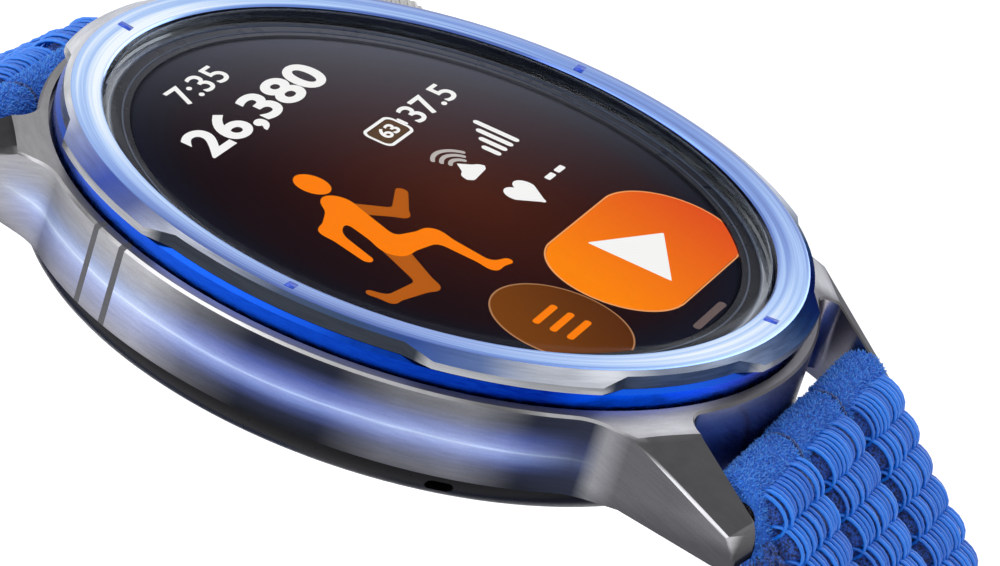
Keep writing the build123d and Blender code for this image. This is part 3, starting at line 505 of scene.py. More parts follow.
def caseTitanium():
    # brushed top, bright broken edges (painted highlights), darker satin facets (painted shade) and sides that deepen
    # towards the back (painted reflections)
    finish = Finish("caseTitanium", (0.30, 0.30, 0.30), 0.3, 1.0, **{"Specular Tint": (0.25, 0.25, 0.26, 1.0)})
    span, rise, fall, mix = finish.span, finish.rise, finish.fall, finish.mix
    lines = finish.noise(finish.round(14, 5200, 7000), rough=0.6)
    cloud = finish.noise(finish.place(), 60.0)
    grain = finish.noise(finish.place(), 9000.0)
    x, y, z = finish.axes(finish.place())
    reach, wide = finish.reach(x, y), abs(x)
    sideways, _, tilt = finish.normal()
    sideways = abs(sideways)

    # painted reflections on the round wall, light and dark by angle and by height
    turn = span(finish.maths("ARCTAN2", y, wide), -math.pi / 2, math.pi / 2)
    paintedReflection = finish.ramp(turn, [(0.5 + degrees / 180, (share,) * 3) for degrees, share in case["paintedReflection"]])
    level = rise(z, *case["level"]) + span(cloud, 0.3, 0.7, -0.025, 0.025)
    drum = mix(paintedReflection, finish.ramp(level, case["darkWallReflection"]), finish.ramp(level, case["paleWallReflection"]))
    # painted shade on the wall by the front lugs
    drum = mix(rise(y, -15.6, -12.6, 0.20, 1.0), case["front"], drum)
    # painted light and shade on the lugs' sides, and painted shade under them
    armLightAndShade = mix(rise(z, 3.6, 5.0), case["armShadedBottom"], finish.ramp(rise(y, -24, 24), case["armLightAndShade"]))
    lugSide = finish.most(fall(y, -16.8, -16.0) * rise(wide, 10.5, 11.0), rise(reach, 21.9, 23.6))
    wall = mix(lugSide, drum, armLightAndShade)
    # painted reflection in the gap between the lugs, darker towards the bottom
    wall = mix(fall(y, -18.6, -18.0) * fall(wide, 10.3, 10.7), wall, finish.ramp(level, case["gap"]))

    # painted light on what faces up: lighter on the near lugs, darker on the facets and on the lip of the gap
    near = fall(y, -18.0, -14.5)
    lip = fall(y, -20.0, -17.0) * rise(x, -11.4, -8.0) * fall(x, 10.2, 11.4)
    facet, flat = (mix(near, *case[kind]) for kind in ("facet", "flat"))
    flat = mix(lip, flat, case["lip"][0])
    rim = mix(lip, finish.ramp(tilt, case["rim"]), case["lip"][1])
    faces = mix(span(tilt, 0.717, 0.724), rim, mix(span(tilt, 0.88, 0.93), facet, flat))

    # painted shade in the recess inside the top of the case
    wall = mix(fall(reach, 21.3, 21.45) * rise(z, 7.6, 7.9), wall, case["recessShade"])
    tone = mix(span(tilt, 0.52, 0.57), wall, faces)
    upwards = span(tilt, 0.56, 0.60)
    broken = finish.most(span(sideways, 0.35, 0.55), upwards) * finish.most(1.0 - rise(abs(y), 24.1, 24.5), upwards)
    # painted highlight lines along the broken edges of the lugs
    edge = mix(broken * span(tilt, 0.14, 0.20), wall, finish.ramp(tilt, case["edge"]))
    tone = mix(rise(reach, 22.6, 23.2), tone, edge)
    fine = lines * 0.7 + grain * 0.3
    finish.colour(mix(span(fine, 0.35, 0.65, 0.0, 0.16), tone, (0.0, 0.0, 0.0)))
    finish.roughness(span(tilt, 0.5, 0.95, 0.24, 0.38))
    finish.bump(fine, 0.10, 20)
    return finish.material


bezel = {
    # painted reflections: colours of the top by degrees round the Z axis
    "top": ((-180, (0.066, 0.092, 0.162)), (-170, (0.048, 0.086, 0.182)), (-160, (0.040, 0.090, 0.33)),
            (-150, (0.130, 0.20, 0.42)), (-143, (0.56, 0.60, 0.70)), (-130, (0.70, 0.72, 0.78)),
            (-122, (0.20, 0.23, 0.31)), (-112, (0.22, 0.25, 0.32)), (-104, (0.13, 0.16, 0.23)),
            (-97, (0.065, 0.085, 0.14)), (-85, (0.040, 0.055, 0.10)), (-70, (0.040, 0.055, 0.10)),
            (-55, (0.10, 0.13, 0.20)), (-45, (0.18, 0.22, 0.32)), (-30, (0.07, 0.10, 0.18)), (0, (0.07, 0.10, 0.18)),
            (15, (0.16, 0.21, 0.30)), (30, (0.38, 0.43, 0.52)), (60, (0.42, 0.44, 0.50)),
            (90, (0.544, 0.558, 0.636)), (107, (0.84, 0.86, 0.90)), (122, (0.86, 0.88, 0.92)),
            (132, (0.28, 0.33, 0.56)), (145, (0.055, 0.10, 0.46)), (152, (0.09, 0.12, 0.31)),
            (161, (0.43, 0.46, 0.55)), (170, (0.237, 0.259, 0.325)), (180, (0.066, 0.092, 0.162))),
    # painted light on the walls: the tabs lighter low and darker high, and painted shade on the walls set back in the
    # notches, bluer at the front
    "tab": ((0.58, 0.59, 0.61), (0.22, 0.225, 0.235)),
    "notch": ((0.055, 0.080, 0.150), (0.036, 0.043, 0.056)),
    "sheen": ((0.26, 0.28, 0.32), (1.0, 1.0, 1.0)),
    "grain": (0.01, 0.012, 0.02),
}


def bezelTitanium():
    # brushed tabs, with painted shade making the walls set back in the notches much darker, and painted reflections on
    # the top
    finish = Finish("bezelTitanium", (0.30, 0.30, 0.30), 0.28, 1.0)
    lines = finish.noise(finish.round(7, 7000, 6000), rough=0.6)
    coarse = finish.noise(finish.round(3, 1600, 1600), rough=0.6)
    x, y, z = finish.axes(finish.place())
    tilt = finish.normal()[2]
    # painted light on the walls: tabs lighter low and darker high, notch walls painted dark
    tab = finish.mix(finish.rise(z, 9.4, 10.6), *bezel["tab"])
    notch = finish.mix(finish.rise(y, -18, -14), *bezel["notch"])
    wall = finish.mix(finish.rise(finish.reach(x, y), 21.0, 21.3), notch, tab)
    # painted reflections on the top, by angle round the ring
    turn = finish.span(finish.maths("ARCTAN2", y, x), -math.pi, math.pi)
    top = finish.ramp(turn, [(0.5 + degrees / 360, colour) for degrees, colour in bezel["top"]])
    tone = finish.mix(finish.span(tilt, 0.35, 0.6), wall, top)
    finish.put(finish.shader, {"Specular Tint": finish.mix(finish.rise(y, -17.5, -14.5), *bezel["sheen"])})
    streak = finish.span(lines, 0.35, 0.65, 0.0, 0.22) + finish.span(coarse, 0.4, 0.7, 0.0, 0.22)
    finish.colour(finish.mix(streak, tone, bezel["grain"]))
    finish.roughness(finish.span(lines, 0.3, 0.7, 0.20, 0.34))
    finish.bump(lines, 0.12, 20)
    return finish.material


polish = {
    # painted reflections on the slope: from deep blue to white, with light and dark sectors round the ring
    "slope": ((0.0, (0.070, 0.130, 0.42)), (0.25, (0.165, 0.30, 0.72)), (0.55, (0.40, 0.59, 0.95)),
              (0.85, (0.86, 0.94, 1.0))),
    "wall": (0.035, 0.045, 0.085),
    "sweep": ((1, 0.22, 0.93), (2, 0.63, -3.12), (3, 0.24, 0.36)),
}


def ringPolish():
    # polished slope round the glass, with painted reflections: turned streaks from white to blue
    finish = Finish("ringPolish", (0.45, 0.62, 0.95), 0.14, 1.0, **{"Coat Weight": 0.35, "Coat Roughness": 0.05})
    x, y, z = finish.axes(finish.place())
    reach = finish.reach(x, y)
    wide = finish.noise(finish.round(0.55, 1900, 600), rough=0.55)
    fine = finish.noise(finish.round(1.6, 9000, 2000), rough=0.6)
    # painted reflections: darker at the inner and outer edges of the slope, light and dark sectors and wide streaks
    # round it
    across = finish.rise(reach, 18.62, 18.95, -0.24, 0.06) + finish.rise(reach, 20.0, 20.4, 0.0, -0.35)
    tone = finish.reflectionSectors(*polish["sweep"]) * 0.72 + finish.span(wide, 0.28, 0.72, -0.22, 0.26)
    tone = tone + (finish.span(fine, 0.3, 0.7, -0.09, 0.09) + across)
    slope = finish.ramp(tone, polish["slope"])
    finish.colour(finish.mix(finish.span(finish.normal()[2], 0.3, 0.6), polish["wall"], slope))
    finish.roughness(finish.span(fine, 0.3, 0.7, 0.10, 0.22))
    finish.bump(fine, 0.05, 10)
    return finish.material


# painted light: dark and bright sides of the wall and the slope, and brighter colours at the front
blueRing = {
    "wall": ((0.0, 0.010, 0.20), (0.006, 0.075, 0.56)), "wallLitFront": (0.0, 0.095, 0.95),
    "slope": ((0.001, 0.018, 0.22), (0.006, 0.060, 0.40)), "slopeLitFront": (0.008, 0.100, 0.72),
    "sweep": (1, 1.6, 1.75),
}


def anodisedBlue():
    # painted light: dark and bright sides, brightest at the front
    finish = Finish("anodisedBlue", (0.0, 0.045, 0.50), 0.26, 1.0)
    grain = finish.noise(finish.round(30, 8000, 8000))
    # painted light, bright and dark by angle round the ring, and brightest at the front
    tone = finish.reflectionSectors(blueRing["sweep"]) + finish.span(grain, 0.3, 0.7, -0.12, 0.12)
    x, y, z = finish.axes(finish.place())
    front = finish.fall(y, -16.4, -13.4) * finish.fall(x, -9, -4, 0.35)
    wall = finish.mix(front, finish.mix(tone, *blueRing["wall"]), blueRing["wallLitFront"])
    slope = finish.mix(front, finish.mix(tone, *blueRing["slope"]), blueRing["slopeLitFront"])
    finish.colour(finish.mix(finish.span(finish.normal()[2], 0.3, 0.7), wall, slope))
    finish.roughness(finish.span(grain, 0.3, 0.7, 0.20, 0.32))
    finish.bump(grain, 0.06, 20)
    return finish.material


# CAD nodes: smooth shading with sharp machined edges, and a finish each
machining = {"weld": 0.0000008, "sharpFrom": math.radians(28)}


def smoothTree():
    make = Tree("smoothMachined", Float="Sharp Angle")
    values = {"Geometry": make.given("Geometry"), "Distance": machining["weld"]}
    faces = make.get("GeometryNodeSetShadeSmooth", {"Geometry": make.get("GeometryNodeMergeByDistance", values)})
    angle = make.get("GeometryNodeInputMeshEdgeAngle", output="Unsigned Angle")
    sharp = make.get("FunctionNodeCompare", {"A": angle, "B": make.given("Sharp Angle")})
    values = {"Geometry": faces, "Selection": sharp, "Shade Smooth": False}
    return make.finish(make.get("GeometryNodeSetShadeSmooth", values, domain="EDGE"))


def dress(name, material):
    obj = nodes[name]
    for slot in obj.material_slots:
        slot.material = material
    if not obj.material_slots:
        obj.data.materials.append(material)
    machined.use(obj, {"Sharp Angle": machining["sharpFrom"]})


machined = smoothTree()
steelSatin = brushedMetal("steelSatin", (0.58, 0.575, 0.57), 0.10, 0.28, (9000, 1200, 9000))
steelBright = brushedMetal("steelBright", (0.66, 0.66, 0.67), 0.06, 0.18, (9000, 1500, 9000))
keyMetal = brushedMetal("keyMetal", (0.46, 0.455, 0.45), 0.10, 0.27, (3500, 3500, 9000))
blackPlastic = satinPlastic("blackPlastic", (0.022, 0.022, 0.025), 0.45)
barParts = [side + part for side in ("short_", "long_")
            for part in ("bar_tube", "fixed_tip", "release_pin", "bar_spring")]
nodeFinishes = (
    (caseTitanium(), "mid_case"),
    (bezelTitanium(), "bezel"),
    (ringPolish(), "bezel_inner_ring"),
    (anodisedBlue(), "accent_ring"),
    (satinPlastic("antennaResin", (0.075, 0.075, 0.082), 0.45, **{"Specular IOR Level": 0.3}), "antenna_inserts"),
    (rubberBlack(), "glass_gasket", "back_seal", "crown_o_ring", "button_o_ring"),
    (steelSatin, "display_bracket", "haptic_housing", "microphone", "pressure_sensor", "back_screws", "frame_screws",
     "crown_switch", "button_switch"),
    (steelBright, "crown_tube", "crown_collar", "crown_shaft", "button_stem", "button_clip", *barParts),
    (keyMetal, "crown_cap", "button_cap"),
    (filmOrange(), "display_flex", "sensor_flex", "key_flex"),
    (circuitBoard(), "main_board", "sensor_board"),
    (woundWire(), "haptic_coil", "charging_coil"),
    (shotTungsten(), "haptic_mass"),
    (sensorGlass(), "sensor_window"),
    (blackPlastic, "speaker", "crown_encoder"),
    (satinPlastic("framePlastic", (0.05, 0.05, 0.055), 0.5), "inner_frame"),
    (satinPlastic("meshBlack", (0.03, 0.03, 0.03), 0.6, 12000, 0.5), "mic_mesh"),
    (satinPlastic("backCeramic", (0.006, 0.006, 0.007), 0.3, 4000, 0.03, **{"Specular IOR Level": 0.08}), "back_cover"),
    (satinPlastic("ferriteSheet", (0.06, 0.058, 0.055), 0.7, 3000, 0.3), "ferrite_sheet"),
    (satinPlastic("ledEpoxy", (0.55, 0.75, 0.45), 0.15, 3000, 0.05), "sensor_leds"),
    (satinPlastic("photodiodeCoat", (0.05, 0.06, 0.10), 0.12, 3000, 0.05), "photodiodes"),
    (brushedMetal("batteryFoil", (0.55, 0.56, 0.58), 0.25, 0.35, (900, 700, 3000)), "battery"),
    (brushedMetal("shieldSteel", (0.60, 0.60, 0.61), 0.12, 0.3, (1200, 9000, 9000)), "board_shields"),
    (brushedMetal("electrodeSteel", (0.42, 0.43, 0.45), 0.05, 0.2, (30, 9000, 9000), True), "electrodes"),
    (brushedMetal("loopSteel", (0.50, 0.50, 0.51), 0.08, 0.24, (700, 9000, 9000)), "loop_ring"),
)
for material, *names in nodeFinishes:
    for name in names:
        dress(name, material)
print("machined nodes dressed")


# meshes, with points in mm
def outwards(mesh, weld=0.0):
    work = bmesh.new()
    work.from_mesh(mesh)
    if weld:
        bmesh.ops.remove_doubles(work, verts=work.verts, dist=weld)
    bmesh.ops.recalc_face_normals(work, faces=work.faces)
    work.to_mesh(mesh)
    work.free()


def solid(name, points, faces, material=None):
    mesh = bpy.data.meshes.new(name)
    mesh.from_pydata([tuple(c * mm for c in p) for p in points], [], faces)
    outwards(mesh)
    if material:
        mesh.materials.append(material)
    return linked(name, mesh)


def fromWork(name, work, material=None):
    mesh = bpy.data.meshes.new(name)
    bmesh.ops.recalc_face_normals(work, faces=work.faces)
    work.to_mesh(mesh)
    work.free()
    if material:
        mesh.materials.append(material)
    return linked(name, mesh)


def ringFaces(rings, count, closed=False):
    # quads between neighbouring rings of points, with a cap at both ends unless the rings meet
    faces = []
    for i in range(rings if closed else rings - 1):
        low, high = i * count, (i + 1) % rings * count
        faces += [(low + k, low + (k + 1) % count, high + (k + 1) % count, high + k) for k in range(count)]
    if not closed:
        faces += [tuple(range(count)), tuple(range((rings - 1) * count, rings * count))]
    return faces


def evaluated(obj):
    depsgraph = bpy.context.evaluated_depsgraph_get()
    depsgraph.update()
    return bpy.data.meshes.new_from_object(obj.evaluated_get(depsgraph))


def built(tree, name, base, material, values):
    # the tree's result becomes a plain mesh and the working object goes
    tree.use(base, {**values, "Material": material})
    mesh = evaluated(base)
    mesh.name = name
    bpy.data.objects.remove(base)
    if not mesh.materials:
        mesh.materials.append(material)
    mesh.polygons.foreach_set("use_smooth", [True] * len(mesh.polygons))
    return linked(name, mesh)


def joinedAs(name, parts):
    for obj in bpy.context.selected_objects:
        obj.select_set(False)
    for obj in parts:
        obj.select_set(True)
    bpy.context.view_layer.objects.active = parts[0]
    bpy.ops.object.join()
    parts[0].name = name
    return parts[0]


def onCase(piece):
    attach(piece, "case")
    return piece


# lug tips
lug = {
    "bar": (23.6, 4.65),                # Y and Z of the bar hole's axis
    "hole": 0.55, "pin": 0.47,          # radii
    "start": 11.0, "pinEnd": 11.63, "end": 12.05,
    "facet": ((10.6, 20.6, 8.15), (14.15, 18.45, 8.05), (10.6, 25.2, 4.55)),
    "sunk": 0.002, "below": -9.0, "sides": 48,
}


def lugPlug(low, high, floor):
    # one length of the bar hole's filling, cut off just below the sloping face and at its floor
    a, b, c = (Vector(p) for p in lug["facet"])
    normal = (b - a).cross(c - a).normalized()
    normal *= 1 if normal.z > 0 else -1
    plug = bmesh.new()
    middle = Matrix.Translation(((low + high) / 2, *lug["bar"])) @ Matrix.Rotation(math.pi / 2, 4, "Y")
    bmesh.ops.create_cone(plug, cap_ends=True, segments=lug["sides"], radius1=lug["hole"], radius2=lug["hole"],
                          depth=high - low, matrix=middle)
    for point, side in ((a - normal * lug["sunk"], normal), (Vector((0, 0, floor)), Vector((0, 0, -1)))):
        cut = bmesh.ops.bisect_plane(plug, geom=plug.verts[:] + plug.edges[:] + plug.faces[:], plane_co=point,
                                     plane_no=side, clear_outer=True)
        rim = [e for e in cut["geom_cut"] if isinstance(e, bmesh.types.BMEdge)]
        if rim:
            bmesh.ops.edgenet_fill(plug, edges=rim)
    return plug


def fillLugs():
    # metal that closes the bar hole under the sloping face of each lug
    work = bmesh.new()
    pinTop = lug["bar"][1] + lug["pin"]
    for low, high, floor in ((lug["pinEnd"], lug["end"], lug["below"]), (lug["start"], lug["pinEnd"], pinTop)):
        plug = lugPlug(low, high, floor)
        for sx, sy in ((-1, -1), (-1, 1), (1, -1), (1, 1)):
            copy = {v: work.verts.new((v.co.x * sx * mm, v.co.y * sy * mm, v.co.z * mm)) for v in plug.verts}
            for face in plug.faces:
                work.faces.new([copy[v] for v in face.verts])
        plug.free()
    onCase(fromWork("lugFill", work, nodes["mid_case"].material_slots[0].material))


fillLugs()


# strap
strap = {
    "barReach": 23.6, "barHeight": 4.65,          # bar axis in the row frame
    "drop": 45.0, "straight": 13.0,
    "arcs": ((20.0, 95.0), (34.0, 40.0)),         # radius, turn in degrees
    "lead": 5.0,                                  # line before the bar and past the end
    "lineStep": 0.4, "step": 0.55, "start": 0.6,
    "width": 20.4, "hem": 0.15,
    "inside": -1.3, "ground": 0.66, "crown": 0.24, "plainTop": 1.26,     # heights off the centre line
    "fade": 0.8,                                  # from the woven to the plain end
    "pile": (0.03, 3000.0),                       # height, scale
    "columns": 3, "columnPitch": 6.75,
    "threads": 12, "threadPitch": 0.462, "uneven": 0.03, "droop": 0.05,
    "rowPitch": 1.95, "firstRow": -0.25,
}
halves = {
    "long": {"side": -1, "tail": 3.0, "body": "long_half", "lastRow": 22.4, "plainTail": 22.4},
    "short": {"side": 1, "tail": 0.6, "body": "short_half", "lastRow": 2.6, "plainTail": -9.0},
}


def lineLength(half):
    return strap["straight"] + sum(r * math.radians(turn) for r, turn in strap["arcs"]) + half["tail"]


def lineAt(along, height, side):
    # a point of the strap, from its distance along the centre line and its height off it
    y, z, heading = strap["barReach"], strap["barHeight"], math.radians(-strap["drop"])
    stretches = [(None, strap["straight"])] + [(r, r * math.radians(turn)) for r, turn in strap["arcs"]]
    left = along
    for radius, length in stretches:
        step = min(left, length)
        if radius is None:
            y, z = y + step * math.cos(heading), z + step * math.sin(heading)
        else:
            cy, cz = y + radius * math.sin(heading), z - radius * math.cos(heading)
            heading -= step / radius
            y, z = cy - radius * math.sin(heading), cz + radius * math.cos(heading)
        left -= step
        if left <= 0:
            break
    if left > 0:
        y, z = y + left * math.cos(heading), z + left * math.sin(heading)
    return (0.0, side * (y - height * math.sin(heading)), z + height * math.cos(heading))


def curveThrough(name, points):
    curve = bpy.data.curves.new(name, "CURVE")
    curve.dimensions = "3D"
    spline = curve.splines.new("POLY")
    spline.points.add(len(points) - 1)
    for place, point in zip(spline.points, points):
        place.co = (*(c * mm for c in point), 1)
    return linked(name, curve)


def centreLine(half):
    lead = strap["lead"]
    end = lineLength(half) + lead
    count = int((end + lead) / strap["lineStep"])
    places = [-lead + i * (end + lead) / count for i in range(count + 1)]
    return curveThrough("centreLine", [lineAt(along, 0.0, half["side"]) for along in places])


def weaveTree():
    # one small mesh repeated in rows, columns and threads, bent along a line
    make = Tree("weave", Object="Line, Unit", Int="Rows, Columns, Threads, Seed", Material="Material",
                Float="Side, Row Pitch, Column Pitch, Thread Pitch, First Row, Unevenness, End Droop, Crown, "
                      "Half Width")
    given = make.given
    perRow = given("Columns") * given("Threads")
    points = make.get("GeometryNodeMeshLine", {"Count": perRow * given("Rows"), "Offset": (0, 0, 0)})
    index = make.get("GeometryNodeInputIndex")
    row, inRow = make.maths("FLOOR", index / perRow), make.maths("MODULO", index, perRow)
    column, thread = make.maths("FLOOR", inRow / given("Threads")), make.maths("MODULO", inRow, given("Threads"))
    middleColumn, middleThread = (given("Columns") - 1) * 0.5, (given("Threads") - 1) * 0.5
    offCentre = thread - middleThread
    x = (column - middleColumn) * given("Column Pitch") + offCentre * given("Thread Pitch")
    along = row * given("Row Pitch") + given("First Row")
    rise = given("Crown") * (1.0 - (x / given("Half Width")) ** 2.0)
    wobble = make.scaled(make.randomVector((-1, -1, -1), (1, 1, 1)), given("Unevenness"))
    placed = make.moved(points, Position=make.vector("ADD", make.combine(x, along, rise), wobble))
    edge = abs(offCentre / make.maths("MAXIMUM", middleThread, 0.5)) ** 6.0
    stretch = make.random(0.96, 1.04)
    size = make.combine(1.0, stretch, (1.0 - edge * given("End Droop")) * stretch)
    return make.clothed(make.alongLine(make.copies(placed, True, Scale=size)))


def wrapTree():
    # bends one flat mesh along the line and raises a fine pile on it
    make = Tree("wrap", Object="Line", Float="Side, Pile Height, Pile Scale", Material="Material")
    wrapped = make.alongLine(make.given("Geometry"))
    values = {"Vector": make.get("GeometryNodeInputPosition"), "Scale": make.given("Pile Scale"), "Detail": 2.0}
    raised = (make.get("TexNoise", values) - 0.5) * make.given("Pile Height")
    return make.clothed(make.moved(wrapped, Offset=make.scaled(make.get("GeometryNodeInputNormal"), raised)))


def pileTree():
    # short tufts standing on a surface, each leaning its own way
    make = Tree("pile", Object="Unit", Float="Density, Tilt", Int="Seed", Material="Material")
    points, rotation = make.several(("Points", "Rotation"), "GeometryNodeDistributePointsOnFaces", {
        "Mesh": make.given("Geometry"), "Density": make.given("Density"), "Seed": make.given("Seed")})
    tilt = make.given("Tilt")
    lean = make.randomVector(make.combine(tilt * -1.0, tilt * -1.0, -3.1), make.combine(tilt, tilt, 3.1))
    return make.clothed(make.copies(points, True, Rotation=make.turned(rotation, lean), Scale=make.random(0.65, 1.25)))


def stitchTree():
    # small stitches laid end to end along a curve
    make = Tree("stitching", Object="Unit", Float="Spacing, Lean", Int="Seed", Material="Material")
    points, rotation = make.several(("Points", "Rotation"), "GeometryNodeCurveToPoints", {
        "Curve": make.given("Geometry"), "Length": make.given("Spacing")}, mode="LENGTH")
    rotation = make.turned(rotation, make.combine(make.given("Lean")))
    return make.clothed(make.copies(points, Rotation=rotation, Scale=make.random(0.88, 1.12)))


# small meshes that the trees repeat
thread = {
    "path": ((-0.42, 0.02), (-0.38, 0.42), (-0.16, 0.80), (0.22, 1.09), (0.66, 1.27), (1.10, 1.32), (1.50, 1.24),
             (1.83, 1.02), (2.04, 0.68), (2.10, 0.30), (2.02, -0.06)),       # along, height
    "halfWidth": 0.168, "halfThick": 0.105, "sides": 6,
}
roll = {"ends": ((0.06, 0.60), (-0.10, 0.80)), "middle": (0.85, -0.4)}      # how far past the threads, size
edgeLoop = {"reach": 0.42, "tall": 0.50, "thick": 0.13, "lean": 0.10, "around": 9, "sides": 4}
tuft = {"length": 0.27, "radius": 0.055, "sink": 0.2, "lean": 0.6, "corner": 2.1}
stitch = {"length": 0.42, "radius": 0.11, "sides": 6,
          "shape": ((-0.5, 0.35), (-0.3, 0.9), (0.0, 1.0), (0.3, 0.9), (0.5, 0.35))}


def threadUnit():
    path, sides, points = thread["path"], thread["sides"], []
    for i, (s, h) in enumerate(path):
        before, after = path[max(i - 1, 0)], path[min(i + 1, len(path) - 1)]
        ds, dh = after[0] - before[0], after[1] - before[1]
        length = math.hypot(ds, dh)
        for k in range(sides):
            angle = 2 * math.pi * (k + 0.5) / sides
            out = thread["halfThick"] * math.sin(angle) / length
            points.append((thread["halfWidth"] * math.cos(angle), s - dh * out, h + strap["ground"] + ds * out))
    return points, ringFaces(len(path), sides)


def rollUnit():
    # knitted filling under one arch of threads, closed at both ends
    half = (strap["threads"] - 1) * strap["threadPitch"] / 2
    stations = [(-half - past, size) for past, size in roll["ends"]]
    stations += [(half + past, size) for past, size in reversed(roll["ends"])]
    s0, h0 = roll["middle"]
    points = [(x, s0 + (s - s0) * size, strap["ground"] + (h - h0) * size + h0) for x, size in stations
              for s, h in thread["path"]]
    return points, ringFaces(len(stations), len(thread["path"]))


def loopUnit():
    # one small loop of the knitted edge, lying in the side of the strap
    reach, thick, around, sides, points = *(edgeLoop[key] for key in ("reach", "thick", "around", "sides")), []
    for i in range(around):
        angle = 2 * math.pi * i / around
        for k in range(sides):
            turn = 2 * math.pi * k / sides
            out = 1 + thick * math.cos(turn) / reach
            points.append((thick * math.sin(turn) + edgeLoop["lean"] * math.sin(angle), reach * math.cos(angle) * out,
                           edgeLoop["tall"] * math.sin(angle) * out))
    return points, ringFaces(around, sides, True)


def tuftUnit():
    length, lean, points = tuft["length"], tuft["lean"], []
    for aside, height, size in ((0.0, 0.0, 1.0), (0.05, 0.55, 0.8)):
        radius = tuft["radius"] * size
        for turn in (tuft["corner"] * k for k in range(3)):
            points.append((aside * math.cos(lean) + radius * math.cos(turn), radius * math.sin(turn),
                           (height - tuft["sink"]) * length))
    points.append((0.14 * lean, 0.02, (1 - tuft["sink"]) * length))
    faces = [(2, 1, 0)] + [(k, (k + 1) % 3, 3 + (k + 1) % 3, 3 + k) for k in range(3)]
    return points, faces + [(3 + k, 3 + (k + 1) % 3, 6) for k in range(3)]


def stitchUnit():
    sides, points = stitch["sides"], []
    for along, size in stitch["shape"]:
        radius = stitch["radius"] * size
        for turn in (2 * math.pi * k / sides for k in range(sides)):
            points.append((radius * math.cos(turn), radius * math.sin(turn), along * stitch["length"]))
    return points, ringFaces(len(stitch["shape"]), sides)


# flat cloth, bent along the line afterwards
def flatLoft(name, sections):
    # sections of equal count, each a ring of (x, along, height); UV keeps x and along in mm
    points = [p for ring in sections for p in ring]
    obj = solid(name, points, ringFaces(len(sections), len(sections[0])))
    uv = obj.data.uv_layers.new(name="cloth")
    for loop in obj.data.loops:
        x, along, height = points[loop.vertex_index]
        uv.data[loop.index].uv = (x + height * 0.7, along)
    return obj


def bandSection(along, halfWidth, low, high, columns=40, corner=0.45, crown=0.0):
    ring = []
    flat = halfWidth - corner
    middle, rise = (low + high) / 2, (high - low) / 2
    for k in range(columns + 1):
        x = -flat + 2 * flat * k / columns
        ring.append((x, along, high + crown * (1 - (x / flat) ** 2)))
    for k in range(1, 6):
        angle = math.pi / 2 - math.pi * k / 6
        ring.append((flat + corner * math.cos(angle), along, middle + rise * math.sin(angle)))
    for k in range(columns + 1):
        ring.append((flat - 2 * flat * k / columns, along, low))
    for k in range(1, 6):
        angle = -math.pi / 2 - math.pi * k / 6
        ring.append((-flat + corner * math.cos(angle), along, middle + rise * math.sin(angle)))
    return ring


def bandMesh(half):
    end, start = lineLength(half), strap["start"]
    plain = end - half["plainTail"]
    count = int((end - start) / strap["step"])
    sections = []
    for i in range(count + 1):
        along = start + (end - start) * i / count
        blend = min(1.0, max(0.0, (along - plain) / strap["fade"]))
        high = strap["ground"] + (strap["plainTop"] - strap["ground"]) * blend
        sections.append(bandSection(along + strap["lead"], strap["width"] / 2 - strap["hem"], strap["inside"], high,
                                    crown=strap["crown"] * (1 - blend)))
    return flatLoft("band", sections)


def resampled(points, step):
    ring = []
    for a, b in zip(points, points[1:] + points[:1]):
        count = max(1, round(math.hypot(b[0] - a[0], b[1] - a[1]) / step))
        ring += [(a[0] + (b[0] - a[0]) * t, a[1] + (b[1] - a[1]) * t) for t in (k / count for k in range(count))]
    return ring


def rounded(points):
    # cuts every corner twice
    for _ in range(2):
        cut = []
        for a, b in zip(points, points[1:] + points[:1]):
            cut += [(a[0] * t + b[0] * (1 - t), a[1] * t + b[1] * (1 - t)) for t in (0.75, 0.25)]
        points = cut
    return points


sleeve = {
    "bar": ((60, 1.12), (80, 1.22), (100, 1.34), (118, 1.55), (135, 1.84), (152, 2.10), (170, 2.24), (187, 2.16),
            (203, 1.96), (220, 1.80), (240, 1.73), (262, 1.72), (285, 1.72)),       # angle from the strap line, radius
    "loop": tuple((angle, 2.3) for angle in range(50, 300, 16)),
    "barTongue": 2.9, "loopTongue": 3.1,
    "step": 0.15, "seams": (-3.38, 3.38), "pinch": 0.14, "pinchWidth": 0.36, "edgeRound": 0.9, "edgeDip": 0.25,
    "ends": (0.04, 0.2, 0.35, 0.5, 0.62),
    "lumps": (0.10, 1500.0),                      # height, scale
    "tufts": 56e6, "tuftTilt": 0.75, "keep": 0.8,
    "seamSize": 0.935, "seamSpacing": 0.30, "seamLean": 0.35,
}


def sleeveOutline(reach, tongue):
    arc = [(r * math.cos(math.radians(a)), r * math.sin(math.radians(a))) for a, r in reach]
    foot = strap["inside"]
    return rounded(arc + [(1.5, foot - 0.05), (tongue - 0.3, foot), (tongue, foot + 0.5), (tongue + 0.1, 0.0),
                          (tongue - 0.2, 0.45), (tongue - 0.9, 0.70), (1.2, 0.86)])


def sleeveMesh(outline, centre, facing):
    outline = resampled(outline, sleeve["step"])
    half = strap["width"] / 2
    count = int(2 * half / sleeve["step"])
    stations = []
    for i in range(count + 1):
        x = -half + 2 * half * i / count
        size = 1.0
        for seam in sleeve["seams"]:
            size -= sleeve["pinch"] * math.exp(-((x - seam) / sleeve["pinchWidth"]) ** 2)
        inset = max(0.0, abs(x) - half + sleeve["edgeRound"]) / sleeve["edgeRound"]
        stations.append((x, size - sleeve["edgeDip"] * (1 - math.sqrt(max(0.0, 1 - inset ** 2)))))
    ends = sleeve["ends"]
    stations = [(-half, size) for size in ends] + stations + [(half, size) for size in reversed(ends)]
    return flatLoft("sleeve", [[(x, centre + facing * s * size + strap["lead"], h * size) for s, h in outline]
                               for x, size in stations])


